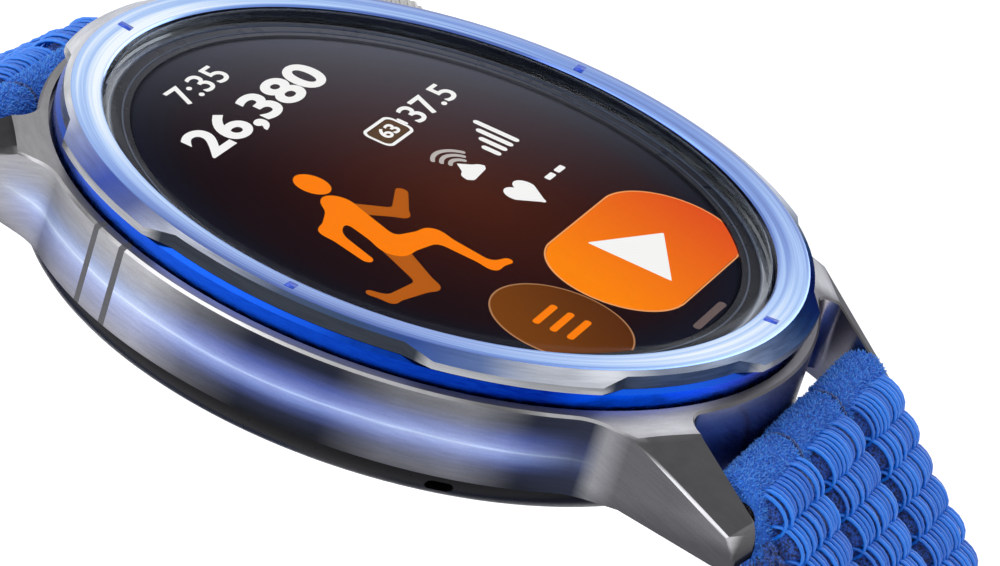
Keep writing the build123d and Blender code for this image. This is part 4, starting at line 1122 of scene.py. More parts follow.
# the release knob slides in a slot on the wrist side of its bar sleeve
knob = {"radius": 0.55, "gap": 0.15, "travel": 1.3, "bare": 0.40, "from": -1.0, "to": -3.2, "offBar": 2.0, "under": 0.5}
barEnd = {"bare": 1.05, "steep": 0.7}


def slotEnds(label):
    y, z = halves[label]["side"] * strap["barReach"] * mm, strap["barHeight"] * mm
    far = [v.co.x / mm for v in nodes[label + "_release_pin"].data.vertices
           if math.hypot(v.co.y - y, v.co.z - z) > knob["offBar"] * mm]
    rest = (min(far) + max(far)) / 2
    return sorted((rest, rest - math.copysign(knob["travel"], rest)))


def cutWindow(piece, label):
    low, high = slotEnds(label)
    wide = knob["radius"] + knob["gap"]
    outline = [(end + sign * wide * math.sin(math.pi * k / 10), sign * wide * math.cos(math.pi * k / 10))
               for end, sign in ((high, 1), (low, -1)) for k in range(11)]
    points = [(x, *lineAt(s, h, halves[label]["side"])[1:]) for h in (knob["from"], knob["to"]) for x, s in outline]
    cutter = solid("cutter", points, ringFaces(2, len(outline)), seamFinish)
    cut = piece.modifiers.new("window", "BOOLEAN")
    cut.object, cut.operation, cut.solver = cutter, "DIFFERENCE", "EXACT"
    mesh = evaluated(piece)
    piece.modifiers.remove(cut)
    piece.data = mesh
    bpy.data.objects.remove(cutter)


def strapAxes(label):
    # the directions along the strap and out of it, where it leaves the bar
    side, lean = halves[label]["side"], math.radians(strap["drop"])
    return (0, side * math.cos(lean), -math.sin(lean)), (0, side * math.sin(lean), math.cos(lean))


def tuftGround(piece, label):
    # the sleeve's surface without the spots where the bar comes out and the patch round its knob slot
    base = linked("base", piece.data.copy())
    low, high = slotEnds(label)
    bar = Vector((0, halves[label]["side"] * strap["barReach"], strap["barHeight"])) * mm
    along, out = (Vector(axis) for axis in strapAxes(label))
    reach = (knob["radius"] + knob["gap"] + knob["bare"]) * mm
    work = bmesh.new()
    work.from_mesh(base.data)
    bare = []
    for face in work.faces:
        spot = face.calc_center_median() - bar
        x, s, h = spot.x - min(high * mm, max(low * mm, spot.x)), spot.dot(along), spot.dot(out)
        onSlot = h < -knob["under"] * mm and math.hypot(x, s) < reach
        onEnd = abs(face.normal.x) > barEnd["steep"] and math.hypot(s, h) < barEnd["bare"] * mm
        if onSlot or onEnd:
            bare.append(face)
    bmesh.ops.delete(work, geom=bare, context="FACES")
    work.to_mesh(base.data)
    work.free()
    return base


# cloth finishes
def threadGloss():
    finish = Finish("threadGloss", (0.002, 0.10, 0.55), 0.34,
                    **{"Specular IOR Level": 0.45, "Coat Weight": 0.1, "Coat Roughness": 0.25})
    fine = finish.noise(finish.place(), 9000.0)
    finish.colour(finish.mix(finish.attribute("shade") * 0.7 + fine * 0.3, (0.001, 0.100, 0.55), (0.012, 0.235, 0.90)))
    finish.roughness(finish.span(fine, 0.3, 0.7, 0.28, 0.42))
    finish.bump(fine, 0.08, 20)
    return finish.material


def knitMesh():
    finish = Finish("knitMesh", (0.006, 0.03, 0.18), 0.7, **{"Sheen Weight": 0.2})
    cell, holes = finish.cells(5200.0), finish.cells(3000.0, "DISTANCE_TO_EDGE")
    speck = finish.mix(finish.span(cell, 0.25, 0.6), (0.02, 0.11, 0.52), (0.002, 0.010, 0.07))
    finish.colour(finish.mix(finish.span(holes, 0.02, 0.10), (0.015, 0.09, 0.45), speck))
    finish.bump(1.0 - cell, 0.8, 80)
    return finish.material


def groundKnit():
    # wrist side and edges: a close knit with fine ribs along the strap
    finish = Finish("groundKnit", (0.01, 0.06, 0.35), 0.8, **{"Sheen Weight": 0.3})
    ribs = finish.wave(finish.cloth(), 0.55, **{"Distortion": 1.2, "Detail": 2.0, "Detail Scale": 3.0})
    rows = finish.wave(finish.cloth(), 0.62, "Y", Distortion=1.5, Detail=2.0)
    height = ribs * rows + finish.noise(finish.place(), 7000.0, 3.0) * 0.5
    finish.colour(finish.mix(finish.span(height, 0.2, 1.1), (0.004, 0.022, 0.16), (0.018, 0.11, 0.52)))
    finish.bump(height, 0.7, 120)
    return finish.material


def pileCloth():
    # looped pile of the sleeves
    finish = Finish("pileCloth", (0.018, 0.13, 0.62), 0.85, **{"Sheen Weight": 0.25, "Sheen Roughness": 0.4})
    fuzz, patch = finish.noise(finish.place(), 9000.0, 3.0, 0.6), finish.noise(finish.place(), 1400.0)
    tone = fuzz * 0.5 + patch * 0.4 + finish.attribute("shade") * 0.45
    blues = ((0.0, (0.009, 0.072, 0.37)), (0.4, (0.027, 0.200, 0.80)), (1.0, (0.080, 0.380, 1.0)))
    finish.colour(finish.ramp(finish.span(tone, 0.25, 1.05), blues))
    finish.bump(fuzz, 0.7, 80)
    return finish.material


def tabWebbing():
    finish = Finish("tabWebbing", (0.008, 0.045, 0.26), 0.7, **{"Sheen Weight": 0.3})
    warp, weft = (finish.wave(finish.cloth(), scale, way, Distortion=0.6) for scale, way in ((0.75, "X"), (0.9, "Y")))
    height = warp * weft + finish.noise(finish.place(), 8000.0) * 0.3
    finish.colour(finish.mix(finish.span(height, 0.1, 1.0), (0.004, 0.022, 0.14), (0.014, 0.075, 0.38)))
    finish.bump(height, 0.6, 100)
    return finish.material


def seamThread():
    finish = Finish("seamThread", (0.004, 0.02, 0.13), 0.6, **{"Sheen Weight": 0.2})
    fibre = finish.noise(finish.place(), 9000.0)
    finish.colour(finish.mix(fibre, (0.002, 0.010, 0.07), (0.008, 0.04, 0.22)))
    finish.bump(fibre, 0.4, 30)
    return finish.material


threadFinish, knitFinish, groundFinish = threadGloss(), knitMesh(), groundKnit()
pileFinish, tabFinish, seamFinish = pileCloth(), tabWebbing(), seamThread()
weave, wrap, stitching, tufting = weaveTree(), wrapTree(), stitchTree(), pileTree()


def unitObject(shape, lift=0.0):
    points, faces = shape
    return solid("unit", [(x, s, h + lift) for x, s, h in points], faces)


def woven(name, line, side, unit, material, lengths, rows, columns=1, threads=1, droop=0.0, seed=1):
    # lengths in mm, 0 where none is given
    values = {"Line": line, "Unit": unit, "Side": float(side), "Rows": rows, "Columns": columns, "Threads": threads,
              "End Droop": droop, "Seed": seed, "Half Width": strap["width"] / 2 * mm}
    for label in ("Row Pitch", "Column Pitch", "Thread Pitch", "First Row", "Unevenness", "Crown"):
        values[label] = lengths.get(label, 0.0) * mm
    return built(weave, name, linked("base", bpy.data.meshes.new("base")), material, values)


def wrapped(name, line, side, flat, material, pile):
    height, scale = pile
    values = {"Line": line, "Side": float(side), "Pile Height": height * mm, "Pile Scale": scale}
    return built(wrap, name, flat, material, values)


units = {"thread": unitObject(threadUnit()), "roll": unitObject(rollUnit()), "stitch": unitObject(stitchUnit()),
         "tuft": unitObject(tuftUnit())}
edging = {
    "heights": (-0.95, -0.45, 0.05, 0.50), "inset": 0.42,
    "first": 1.6, "shift": 0.24, "pitch": 0.72, "endGap": 2.2,
    "uneven": 0.07, "seed": 11,
}


def buildEdges(label, line):
    # four rows of small loops along each side of the strap
    half, loops = halves[label], []
    rows = int((lineLength(half) - edging["endGap"]) / edging["pitch"])
    for i, lift in enumerate(edging["heights"]):
        unit = unitObject(loopUnit(), lift)
        lengths = {"Row Pitch": edging["pitch"], "Column Pitch": strap["width"] - edging["inset"],
                   "First Row": edging["first"] + edging["shift"] * i + strap["lead"], "Unevenness": edging["uneven"]}
        loops.append(woven("edge", line, half["side"], unit, knitFinish, lengths, rows, 2, seed=edging["seed"] + i))
        bpy.data.objects.remove(unit)
    return joinedAs(label + "StrapEdges", loops)


def buildSleeve(label, line, word):
    # a sleeve round the bar, or round the loop at the end of the strap: cloth, tufts and two sewn lines
    side, atBar = halves[label]["side"], word == "Sleeve"
    centre, facing = (0.0, 1) if atBar else (lineLength(halves[label]), -1)
    outline = sleeveOutline(*(sleeve[key] for key in (("bar", "barTongue") if atBar else ("loop", "loopTongue"))))
    core = wrapped(label + word, line, side, sleeveMesh(outline, centre, facing), pileFinish, sleeve["lumps"])
    if atBar:
        ground = tuftGround(core, label)
        cutWindow(core, label)
    else:
        ground = linked("base", core.data.copy())
    pile = built(tufting, label + word + "Pile", ground, pileFinish,
                 {"Unit": units["tuft"], "Density": sleeve["tufts"], "Tilt": sleeve["tuftTilt"], "Seed": 7})
    seams, size = [], sleeve["seamSize"]
    for x in sleeve["seams"]:
        path = [(x, *lineAt(centre + facing * s * size, h * size, side)[1:]) for s, h in outline[2:-12]]
        seams.append(built(stitching, "seam", curveThrough("seam", path), seamFinish,
                           {"Unit": units["stitch"], "Spacing": sleeve["seamSpacing"] * mm, "Lean": sleeve["seamLean"],
                            "Seed": 5}))
    return [core, pile, joinedAs(label + word + "Seams", seams)]


def buildStrap(label):
    half, line = halves[label], centreLine(halves[label])
    side = half["side"]
    band = wrapped(label + "StrapBand", line, side, bandMesh(half), groundFinish, strap["pile"])
    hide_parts(label + "_strap")
    rows = int((lineLength(half) - half["lastRow"] - strap["firstRow"]) / strap["rowPitch"])
    lengths = {"Row Pitch": strap["rowPitch"], "Column Pitch": strap["columnPitch"],
               "Thread Pitch": strap["threadPitch"], "First Row": strap["firstRow"] + strap["lead"],
               "Crown": strap["crown"]}
    threads = woven(label + "StrapThreads", line, side, units["thread"], threadFinish,
                    {**lengths, "Unevenness": strap["uneven"]}, rows, strap["columns"], strap["threads"],
                    strap["droop"], seed=3)
    rolls = woven(label + "StrapRolls", line, side, units["roll"], knitFinish, lengths, rows, strap["columns"])
    stiff = [band, threads, rolls, buildEdges(label, line)]
    soft = buildSleeve(label, line, "Sleeve")
    if label == "short":
        stiff += buildSleeve(label, line, "EndSleeve")
    bpy.data.objects.remove(line)
    for piece in stiff + soft:
        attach(piece, half["body"])
    for piece in soft:
        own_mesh(piece)
    print(label, "strap woven,", rows, "rows")


# hook tab
tab = {
    "lift": 1.84,                                 # height off the strap's centre line
    "anchor": (6.0, 12), "cover": (22.0, 40),     # length and points on the inner and the outer side
    "turn": 16,
    "halfWidth": 8.5, "thick": 0.9, "corner": 3.0, "edge": 0.4, "columns": 30,
    "step": 0.4, "gap": 0.05, "thin": 0.5,
    "pile": (0.02, 4000.0),
    "stitchInset": 1.0, "stitchPitch": 1.05, "stitchStart": 1.0, "stitchTall": 1.6,
}


def tabPath(half):
    # up the inner face, round the end and back along the outer face
    end, side, lift = lineLength(half), half["side"], tab["lift"]
    anchor, low = tab["anchor"]
    cover, high = tab["cover"]
    path = [lineAt(end - anchor + anchor * i / low, -lift, side) for i in range(low + 1)]
    tip = lineAt(end, 0.0, side)
    for i in range(1, tab["turn"]):
        angle = math.pi * i / tab["turn"]
        path.append((0.0, tip[1] + (-side) * lift * math.sin(angle), tip[2] + lift * math.cos(angle)))
    return path + [lineAt(end - cover * i / high, lift, side) for i in range(high + 1)]


def tabMesh(total):
    # thinner towards both ends, with round corners at the free end
    count, gap, corner, sections = int(total / tab["step"]), tab["gap"], tab["corner"], []
    for i in range(count + 1):
        along = gap + (total - 2 * gap) * i / count
        left = total - along
        inset = corner - math.sqrt(max(0.0, corner ** 2 - max(0.0, corner - left) ** 2))
        thick = tab["thick"] / 2 * min(1.0, math.sqrt(max(0.02, min(left, along)) / tab["thin"]))
        sections.append(bandSection(along, tab["halfWidth"] - inset, -thick, thick, tab["columns"], tab["edge"]))
    return flatLoft("tab", sections)


def buildTab():
    path = tabPath(halves["long"])
    line = curveThrough("tabLine", path)
    total = sum((Vector(a) - Vector(b)).length for a, b in zip(path, path[1:]))
    strip = wrapped("strapTabCloth", line, 1, tabMesh(total), tabFinish, tab["pile"])
    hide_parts("strap_tab")
    rim, start = tab["halfWidth"] - tab["stitchInset"], tab["stitchStart"]
    rows = int((total - 2 * start) / tab["stitchPitch"])
    points, faces = stitchUnit()
    lying = [(x, z * tab["stitchTall"], y) for x, y, z in points]
    lengths = {"Row Pitch": tab["stitchPitch"], "First Row": start}
    stitches = []
    for x in (-rim, rim):
        for height in (-tab["thick"] / 2, tab["thick"] / 2):
            unit = unitObject((lying, faces), height)
            stitches.append(woven("run", line, 1, unit, seamFinish, lengths, rows, seed=2))
            stitches[-1].data.transform(Matrix.Translation((x * mm, 0, 0)))
            bpy.data.objects.remove(unit)
    sewn = joinedAs("strapTabStitches", stitches)
    bpy.data.objects.remove(line)
    for piece in (strip, sewn):
        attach(piece, "long_half")
    print("hook tab sewn")


buildStrap("long")
buildStrap("short")
buildTab()
for unit in units.values():
    bpy.data.objects.remove(unit)


# glass and screen
glass = {
    "radius": 18.56, "bottom": 9.66, "top": 10.6, "foot": 0.12, "edge": 0.42, "edgeSteps": 6,
    "tint": (0.86, 0.92, 1.0), "rim": (17.9, 18.35),
    "ior": (1.012, 1.20), "mirrorMost": (0.5, 0.16),                    # clear part, rim
}
underGlass = {     # inner and outer radius, bottom and top
    "glassMask": (16.95, 18.5, 9.46, 9.62),
    "glassLipInner": (17.30, 17.40, 9.62, 9.645),
    "glassLipOuter": (17.98, 18.14, 9.62, 9.645),
}
screen = {
    "radius": 17.3, "bottom": 8.6, "face": 9.42, "corner": 0.02,
    "lit": 16.75, "litEdge": 0.04, "vignette": (14.2, 16.6), "grid": 2600.0,
    "warmAt": (1.5, -1.5), "warmReach": 17,
    "warmth": ((0.0, (0.062, 0.0105, 0.0022)), (0.25, (0.046, 0.0075, 0.0022)), (0.5, (0.027, 0.0040, 0.0022)),
               (0.75, (0.0125, 0.0022, 0.0026)), (1.0, (0.0060, 0.0022, 0.0040))),
    "rimDark": (0.005, 0.006, 0.014), "unlit": (0.0015, 0.0020, 0.0045),
    # painted reflection of the cover glass: a grey that grows towards one side
    "glareColour": (0.100, 0.102, 0.120), "glareLean": (0.77, 0.64), "glareReach": (-4.0, 17.5),
    "ink": 9.425, "inkStep": 0.03, "inkThick": 0.027, "drawn": 16.65,     # lowest ink, layers, last radius drawn on
}


def turned(name, profile, material, degrees=30, segments=220):
    # revolves a closed (radius, height) outline round the Z axis; a radius of 0 is one point
    points, rings, faces = [], [], []
    for radius, height in profile:
        if radius == 0:
            rings.append([len(points)] * segments)
            points.append((0, 0, height))
            continue
        rings.append(list(range(len(points), len(points) + segments)))
        for turn in (2 * math.pi * k / segments for k in range(segments)):
            points.append((radius * math.cos(turn), radius * math.sin(turn), height))
    for i in range(len(rings) if profile[0][0] else len(rings) - 1):
        low, high = rings[i], rings[(i + 1) % len(rings)]
        for k in range(segments):
            face = tuple(dict.fromkeys((low[k], low[(k + 1) % segments], high[(k + 1) % segments], high[k])))
            if len(face) > 2:
                faces.append(face)
    obj = solid(name, points, faces, material)
    for polygon in obj.data.polygons:
        polygon.use_smooth = True
    obj.data.set_sharp_from_angle(angle=math.radians(degrees))
    return obj


def coated():
    # anti-reflection glass: clear, with a mirror share that Fresnel sets and the rim raises
    finish = Finish("coverGlass", glass["tint"], 0.03, 1.0)
    x, y, z = finish.axes(finish.place())
    reach = finish.reach(x, y)
    finish.roughness(finish.span(finish.noise(finish.place(), 220.0, 3.0), 0.35, 0.65, 0.015, 0.05))
    share = finish.get("Fresnel", {"IOR": finish.rise(reach, *glass["rim"], *glass["ior"])})
    finish.throughGlass(finish.maths("MINIMUM", share, finish.rise(reach, *glass["rim"], *glass["mirrorMost"])))
    return finish.material


def lighted(finish, tone):
    # lit through the fine grid of the panel
    grid = finish.wave(finish.place(), screen["grid"], "DIAGONAL")
    finish.put(finish.shader, {"Emission Color": finish.mix(grid * 0.06, tone, (0, 0, 0))})


def litInk(name, colour, second=None, ends=None):
    # second is the colour at the far end of a slope between two places
    finish = Finish(name, (0.004, 0.004, 0.004), 0.5, **{"Specular IOR Level": 0.0, "Emission Strength": 1.0})
    tone = colour
    if second:
        (x0, y0), (x1, y1) = ends
        x, y, z = finish.axes(finish.place())
        scale = ((x1 - x0) ** 2 + (y1 - y0) ** 2) * mm
        along = finish.maths("ADD", (x - x0 * mm) * ((x1 - x0) / scale), (y - y0 * mm) * ((y1 - y0) / scale), True)
        tone = finish.mix(along, colour, second)
    lighted(finish, tone)
    return finish.material


def paintedGlassGlare(finish, dark):
    # painted reflection of the cover glass: a soft grey that grows towards one side of the screen
    x, y, z = finish.axes(finish.place())
    across, up = screen["glareLean"]
    lean = x * across + y * up
    finish.colour(finish.mix(finish.rise(lean, *screen["glareReach"]) ** 2.4, dark, screen["glareColour"]))
    return finish.material


def maskInk():
    dark = (0.005, 0.006, 0.012)
    finish = Finish("maskInk", dark, 0.3, **{"Specular IOR Level": 0.05})
    finish.roughness(finish.span(finish.noise(finish.place(), 900.0), 0.3, 0.7, 0.25, 0.35))
    # painted reflection of the cover glass on the mask too
    return paintedGlassGlare(finish, dark)


def screenFace():
    dark = (0.004, 0.004, 0.005)
    finish = Finish("screenFace", dark, 0.4, **{"Specular IOR Level": 0.0, "Emission Strength": 1.0})
    x, y, z = finish.axes(finish.place())
    reach = finish.reach(x, y)
    away = finish.reach(x - screen["warmAt"][0] * mm, y - screen["warmAt"][1] * mm)
    tone = finish.ramp(finish.rise(away, 0, screen["warmReach"]), screen["warmth"])
    tone = finish.mix(finish.rise(reach, *screen["vignette"]), tone, screen["rimDark"])
    lit, edge = screen["lit"], screen["litEdge"]
    lighted(finish, finish.mix(finish.rise(reach, lit - edge, lit + edge), tone, screen["unlit"]))
    # painted reflection of the cover glass over the screen's own light
    return paintedGlassGlare(finish, dark)


def buildGlass():
    radius, bottom, top, foot, edge = (glass[key] for key in ("radius", "bottom", "top", "foot", "edge"))
    profile = [(0, bottom), (radius - foot, bottom), (radius, bottom + foot)]
    for i in range(glass["edgeSteps"] + 1):
        turn = math.pi / 2 * i / glass["edgeSteps"]
        profile.append((radius - edge * (1 - math.cos(turn)), top - edge * (1 - math.sin(turn))))
    cover = turned("coverGlass", profile + [(0, top)], coated(), 40)
    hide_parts("cover_glass")
    onCase(cover)
    radius, bottom, face, corner = (screen[key] for key in ("radius", "bottom", "face", "corner"))
    profile = [(0, bottom), (radius, bottom), (radius, face - corner), (radius - corner, face), (0, face)]
    panel = turned("screenPanel", profile, screenFace())
    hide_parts("display_panel")
    onCase(panel)
    mask = maskInk()
    lip = satinPlastic("maskLip", (0.035, 0.05, 0.09), 0.3, 5000, 0.05, **{"Specular IOR Level": 0.2})
    for name, (inner, outer, low, high) in underGlass.items():
        profile = [(inner, low), (outer, low), (outer, high), (inner, high)]
        onCase(turned(name, profile, mask if name == "glassMask" else lip))
    print("glass set")


# shapes for the screen, as distances from an outline
def disc(x0, y0, r):
    return lambda x, y: math.hypot(x - x0, y - y0) - r


def limb(ax, ay, bx, by, ra, rb=None):
    rb = ra if rb is None else rb
    dx, dy = bx - ax, by - ay
    length = dx * dx + dy * dy

    def reach(x, y):
        t = min(1.0, max(0.0, ((x - ax) * dx + (y - ay) * dy) / length))
        return math.hypot(x - ax - t * dx, y - ay - t * dy) - (ra + (rb - ra) * t)
    return reach


def plate(x0, y0, x1, y1, r):
    cx, cy, w, h = (x0 + x1) / 2, (y0 + y1) / 2, (x1 - x0) / 2 - r, (y1 - y0) / 2 - r

    def reach(x, y):
        dx, dy = abs(x - cx) - w, abs(y - cy) - h
        return math.hypot(max(dx, 0), max(dy, 0)) + min(max(dx, dy), 0) - r
    return reach


def triangle(corners, r):
    sides = []
    cx, cy = sum(c[0] for c in corners) / 3, sum(c[1] for c in corners) / 3
    for (ax, ay), (bx, by) in zip(corners, corners[1:] + corners[:1]):
        length = math.hypot(bx - ax, by - ay)
        nx, ny = (by - ay) / length, -(bx - ax) / length
        flip = -1 if (cx - ax) * nx + (cy - ay) * ny > 0 else 1
        sides.append((ax, ay, nx * flip, ny * flip))
    return lambda x, y: max((x - ax) * nx + (y - ay) * ny for ax, ay, nx, ny in sides) - r


def arc(x0, y0, r, half, start, end):
    start, end = math.radians(start), math.radians(end)

    def reach(x, y):
        angle = min(end, max(start, math.atan2(y - y0, x - x0)))
        return math.hypot(x - x0 - r * math.cos(angle), y - y0 - r * math.sin(angle)) - half
    return reach


def together(*shapes, soft=0.0):
    def reach(x, y):
        value = shapes[0](x, y)
        for shape in shapes[1:]:
            other = shape(x, y)
            if soft:
                k = max(0.0, min(1.0, 0.5 + 0.5 * (other - value) / soft))
                value = other * (1 - k) + value * k - soft * k * (1 - k)
            else:
                value = min(value, other)
        return value
    return reach


def inside(*shapes):
    return lambda x, y: max(shape(x, y) for shape in shapes)


def without(shape, cut):
    return lambda x, y: max(shape(x, y), -cut(x, y))


def inkMesh(name, shape, box, step, low, high, material):
    # fills the inside of an outline and gives it a little thickness
    x0, y0, x1, y1 = box
    across, up = int((x1 - x0) / step) + 1, int((y1 - y0) / step) + 1
    value = {(i, j): shape(x0 + i * step, y0 + j * step) for i in range(across + 1) for j in range(up + 1)}
    work, verts = bmesh.new(), {}

    def corner(key, x, y):
        if key not in verts:
            verts[key] = work.verts.new(((x0 + x * step) * mm, (y0 + y * step) * mm, low * mm))
        return verts[key]

    for i in range(across):
        for j in range(up):
            ring = ((i, j), (i + 1, j), (i + 1, j + 1), (i, j + 1))
            face = []
            for a, b in zip(ring, ring[1:] + ring[:1]):
                if value[a] <= 0:
                    face.append(corner(a, *a))
                if (value[a] <= 0) != (value[b] <= 0):
                    t = value[a] / (value[a] - value[b])
                    face.append(corner((min(a, b), max(a, b)), a[0] + (b[0] - a[0]) * t, a[1] + (b[1] - a[1]) * t))
            if len(face) > 2:
                work.faces.new(face)
    bmesh.ops.remove_doubles(work, verts=work.verts, dist=0.0001 * mm)
    bmesh.ops.dissolve_limit(work, angle_limit=0.01, verts=work.verts, edges=work.edges, use_dissolve_boundaries=False)
    lifted = bmesh.ops.extrude_face_region(work, geom=list(work.faces))
    top = [v for v in lifted["geom"] if isinstance(v, bmesh.types.BMVert)]
    bmesh.ops.translate(work, verts=top, vec=(0, 0, (high - low) * mm))
    return fromWork(name, work, material)


def numeralMesh(name, text, box, bold, low, high, material):
    # plain numerals stretched to fill a box
    curve = bpy.data.curves.new(name, "FONT")
    curve.body, curve.size, curve.offset, curve.resolution_u, curve.extrude = text, 1.0, bold, 6, 0.01
    obj = linked(name, curve)
    mesh = evaluated(obj)
    bpy.data.objects.remove(obj)
    xs, ys = [v.co.x for v in mesh.vertices], [v.co.y for v in mesh.vertices]
    x0, y0, x1, y1 = box
    sx, sy = (x1 - x0) / (max(xs) - min(xs)), (y1 - y0) / (max(ys) - min(ys))
    left, foot = min(xs), min(ys)
    for v in mesh.vertices:
        height = low if v.co.z < 0 else high
        v.co = ((x0 + (v.co.x - left) * sx) * mm, (y0 + (v.co.y - foot) * sy) * mm, height * mm)
    outwards(mesh, 0.0005 * mm)
    mesh.materials.clear()
    mesh.materials.append(material)
    return linked(name, mesh)


inks = {
    "white": litInk("inkWhite", (0.93, 0.93, 0.92)),
    "orange": litInk("inkOrange", (1.0, 0.215, 0.002)),
    "dimOrange": litInk("inkDimOrange", (0.46, 0.105, 0.006)),
    "grey": litInk("inkGrey", (0.14, 0.10, 0.10)),
    "tan": litInk("inkTan", (0.42, 0.20, 0.09)),
    "softWhite": litInk("inkSoftWhite", (0.50, 0.46, 0.44)),
    "brown": litInk("inkBrown", (0.19, 0.052, 0.004), (0.085, 0.020, 0.003), ((-11.5, -8.0), (-5.0, -14.5))),
    "button": litInk("inkButton", (1.0, 0.235, 0.001), (0.74, 0.072, 0.012), ((-1.5, -8.0), (11.5, -13.5))),
    "buttonEdge": litInk("inkButtonEdge", (0.85, 0.34, 0.12)),
    "cell": litInk("inkCell", (0.10, 0.055, 0.03)),
}
page = {     # what is drawn, its box, its ink and layer, and how bold its numerals or how fine its outline
    "clockNumber": ("7:35", (-3.2, 13.7, 2.4, 15.3), "white", 0, 0.004),
    "mainNumber": ("26,380", (-7.6, 9.5, 7.6, 12.3), "white", 0, 0.028),
    "hourNumber": ("37.5", (6.9, 4.1, 12.4, 5.75), "white", 0, 0.008),
    "cellEdge": (without(together(plate(2.5, 3.95, 5.95, 5.85, 0.55), plate(6.02, 4.55, 6.22, 5.25, 0.1)),
                         plate(2.68, 4.13, 5.77, 5.67, 0.40)), (2.3, 3.7, 6.5, 6.1), "white", 0, 0.045),
    "cellFill": (plate(2.74, 4.19, 5.71, 5.61, 0.34), (2.5, 3.9, 6.0, 5.9), "cell", 0, 0.06),
    "cellNumber": ("63", (3.35, 4.45, 5.1, 5.35), "white", 1, 0.02),
    # a runner in stride: near limbs bright, far limbs dim
    "runnerHead": (disc(-5.6, 5.0, 1.05), (-7, 3.5, -4, 6.5), "orange", 0, 0.07),
    "runnerBody": (together(limb(-6.6, 2.9, -8.3, -1.1, 1.02, 0.86), limb(-6.6, 2.9, -9.9, 1.9, 0.62, 0.52),
                            limb(-9.9, 1.9, -10.9, -0.7, 0.52, 0.36), limb(-8.3, -1.1, -5.1, -2.1, 0.88, 0.62),
                            limb(-5.1, -2.1, -5.5, -5.7, 0.62, 0.36), limb(-5.5, -5.7, -4.2, -6.1, 0.34, 0.26),
                            soft=0.55),
                   (-12.2, -7, -3.2, 4.6), "orange", 1, 0.09),
    "runnerFarLimbs": (together(together(limb(-6.3, 2.4, -4.3, 0.3, 0.55, 0.48), limb(-4.3, 0.3, -1.9, 1.3, 0.48, 0.36),
                                         soft=0.3),
                                together(limb(-8.6, -1.4, -10.6, -4.2, 0.80, 0.58),
                                         limb(-10.6, -4.2, -13.9, -3.5, 0.56, 0.34),
                                         limb(-13.9, -3.5, -14.2, -2.5, 0.34, 0.28), soft=0.4)),
                       (-15, -5.5, -1, 3.5), "dimOrange", 0, 0.09),
    "signalDish": (together(limb(3.3, -0.45, 4.9, -0.45, 0.42, 0.30),
                            triangle([(3.0, -0.5), (5.2, -0.5), (4.1, 0.55)], 0.05), soft=0.2),
                   (2.3, -1.3, 6.0, 1.0), "white", 0, 0.05),
    "signalWaves": (together(*(arc(4.1, 0.1, r, 0.13, 28, 120) for r in (0.85, 1.35, 1.85))), (2.2, 0.3, 6.3, 2.3),
                    "softWhite", 0, 0.045),
    "signalBars": (together(*(limb(7.45 + 0.85 * i, -0.4, 7.45 + 0.85 * i, 0.35 + 0.55 * i, 0.22) for i in range(4))),
                   (7.0, -0.9, 10.6, 2.5), "white", 0, 0.05),
    "heart": (together(*(limb(x, -3.15, 4.35, -4.55, 0.70, 0.12) for x in (3.72, 4.98)), soft=0.12),
              (2.7, -5.1, 6.0, -2.2), "white", 0, 0.05),
    "heartDashes": (together(plate(7.1, -3.78, 8.05, -3.42, 0.06), plate(8.45, -3.78, 9.4, -3.42, 0.06)),
                    (6.9, -4.0, 9.7, -3.2), "white", 0, 0.06),
    "startEdge": (without(plate(-3.95, -14.85, 11.85, -6.75, 4.05), plate(-3.85, -14.75, 11.75, -6.85, 3.95)),
                  (-4.2, -15.1, 12.1, -6.5), "buttonEdge", 0, 0.09),
    "startButton": (plate(-3.83, -14.73, 11.73, -6.87, 3.93), (-4.2, -15.1, 12.1, -6.5), "button", 0, 0.12),
    "startTriangle": (triangle([(2.2, -12.75), (2.2, -8.85), (6.1, -10.8)], 0.35),
                      (1.4, -13.4, 7.4, -8.2), "white", 1, 0.08),
    "menuEdge": (inside(without(disc(-8.1, -10.95, 3.95), disc(-8.1, -10.95, 3.86)), disc(0, 0, screen["drawn"])),
                 (-12.2, -15.1, -4.0, -6.8), "tan", 0, 0.06),
    "menuDisc": (inside(disc(-8.1, -10.95, 3.85), disc(0, 0, screen["drawn"])),
                 (-12.2, -15.1, -4.0, -6.8), "brown", 0, 0.12),
    "menuBars": (together(*(limb(-9.3, -10.95 + d, -6.9, -10.95 + d, 0.2) for d in (-1.0, 0.0, 1.0))),
                 (-9.9, -12.4, -6.3, -9.5), "orange", 1, 0.06),
    "pullHandle": (plate(-2.1, -16.55, 2.1, -16.1, 0.22), (-2.4, -16.8, 2.4, -15.8), "grey", 0, 0.06),
}


def drawPage():
    for name, (drawn, box, colour, layer, fineness) in page.items():
        low = screen["ink"] + layer * screen["inkStep"]
        make = numeralMesh if isinstance(drawn, str) else inkMesh
        onCase(make(name, drawn, box, fineness, low, low + screen["inkThick"], inks[colour]))
    print("screen drawn")


# small blue marks on the slope round the glass
ticks = {
    "count": 4, "radius": 19.55, "size": (0.75, 0.5, 0.05), "lift": 0.012,
    "slopeStart": (18.65, 10.6), "slope": (1.78, 0.13),                # radius and height
}


def tickTree():
    make = Tree("ticks", Object="Unit", Int="Count", Float="Radius, Height, Lean", Material="Material")
    ring = make.get("GeometryNodeMeshCircle", {"Vertices": make.given("Count"), "Radius": make.given("Radius")})
    ring = make.moved(ring, Offset=make.combine(0.0, 0.0, make.given("Height")))
    angle = make.get("GeometryNodeInputIndex") * (2 * math.pi / make.given("Count"))
    return make.clothed(make.copies(ring, Rotation=make.turn(make.combine(0.0, make.given("Lean"), angle))))


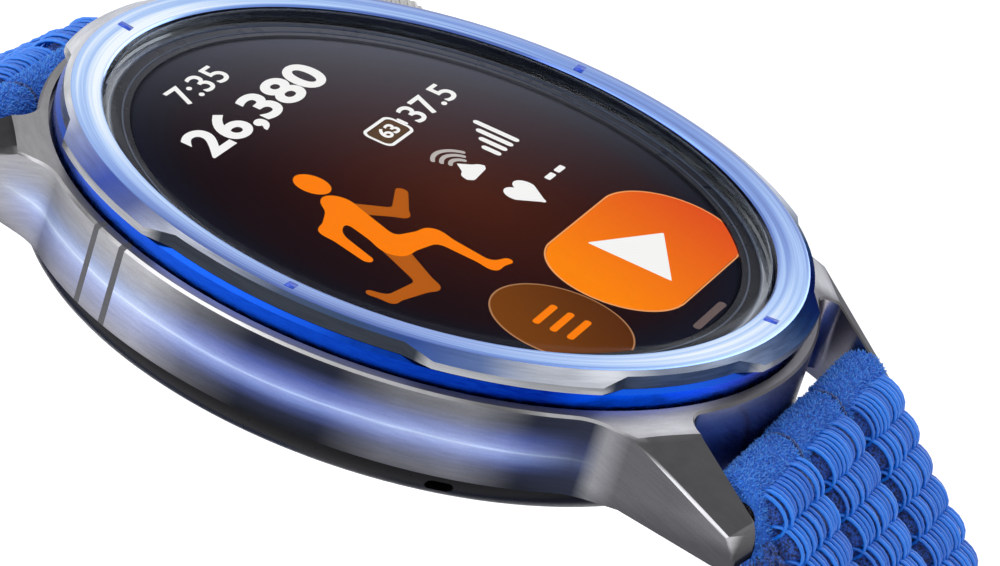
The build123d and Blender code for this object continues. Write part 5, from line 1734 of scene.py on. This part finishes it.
def boxShape(length, width, height):
    x, y, z = length / 2, width / 2, height / 2
    points = [(i * x, j * y, k * z) for i in (-1, 1) for j in (-1, 1) for k in (-1, 1)]
    return points, [(0, 1, 3, 2), (4, 6, 7, 5), (0, 4, 5, 1), (2, 3, 7, 6), (0, 2, 6, 4), (1, 5, 7, 3)]


def buildTicks():
    run, rise = ticks["slope"]
    inner, base = ticks["slopeStart"]
    height = base + rise * (ticks["radius"] - inner) / run + ticks["lift"]
    mark = unitObject(boxShape(*ticks["size"]))
    blue = satinPlastic("tickBlue", (0.010, 0.075, 0.62), 0.3, 5000, 0.05)
    onCase(built(tickTree(), "ringTicks", linked("base", bpy.data.meshes.new("base")), blue,
                 {"Unit": mark, "Count": ticks["count"], "Radius": ticks["radius"] * mm, "Height": height * mm,
                  "Lean": -math.atan2(rise, run)}))
    bpy.data.objects.remove(mark)
    print("ring marked")


buildGlass()
drawPage()
buildTicks()
addFloor(min(cadBox[0][2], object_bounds()[0][2]))
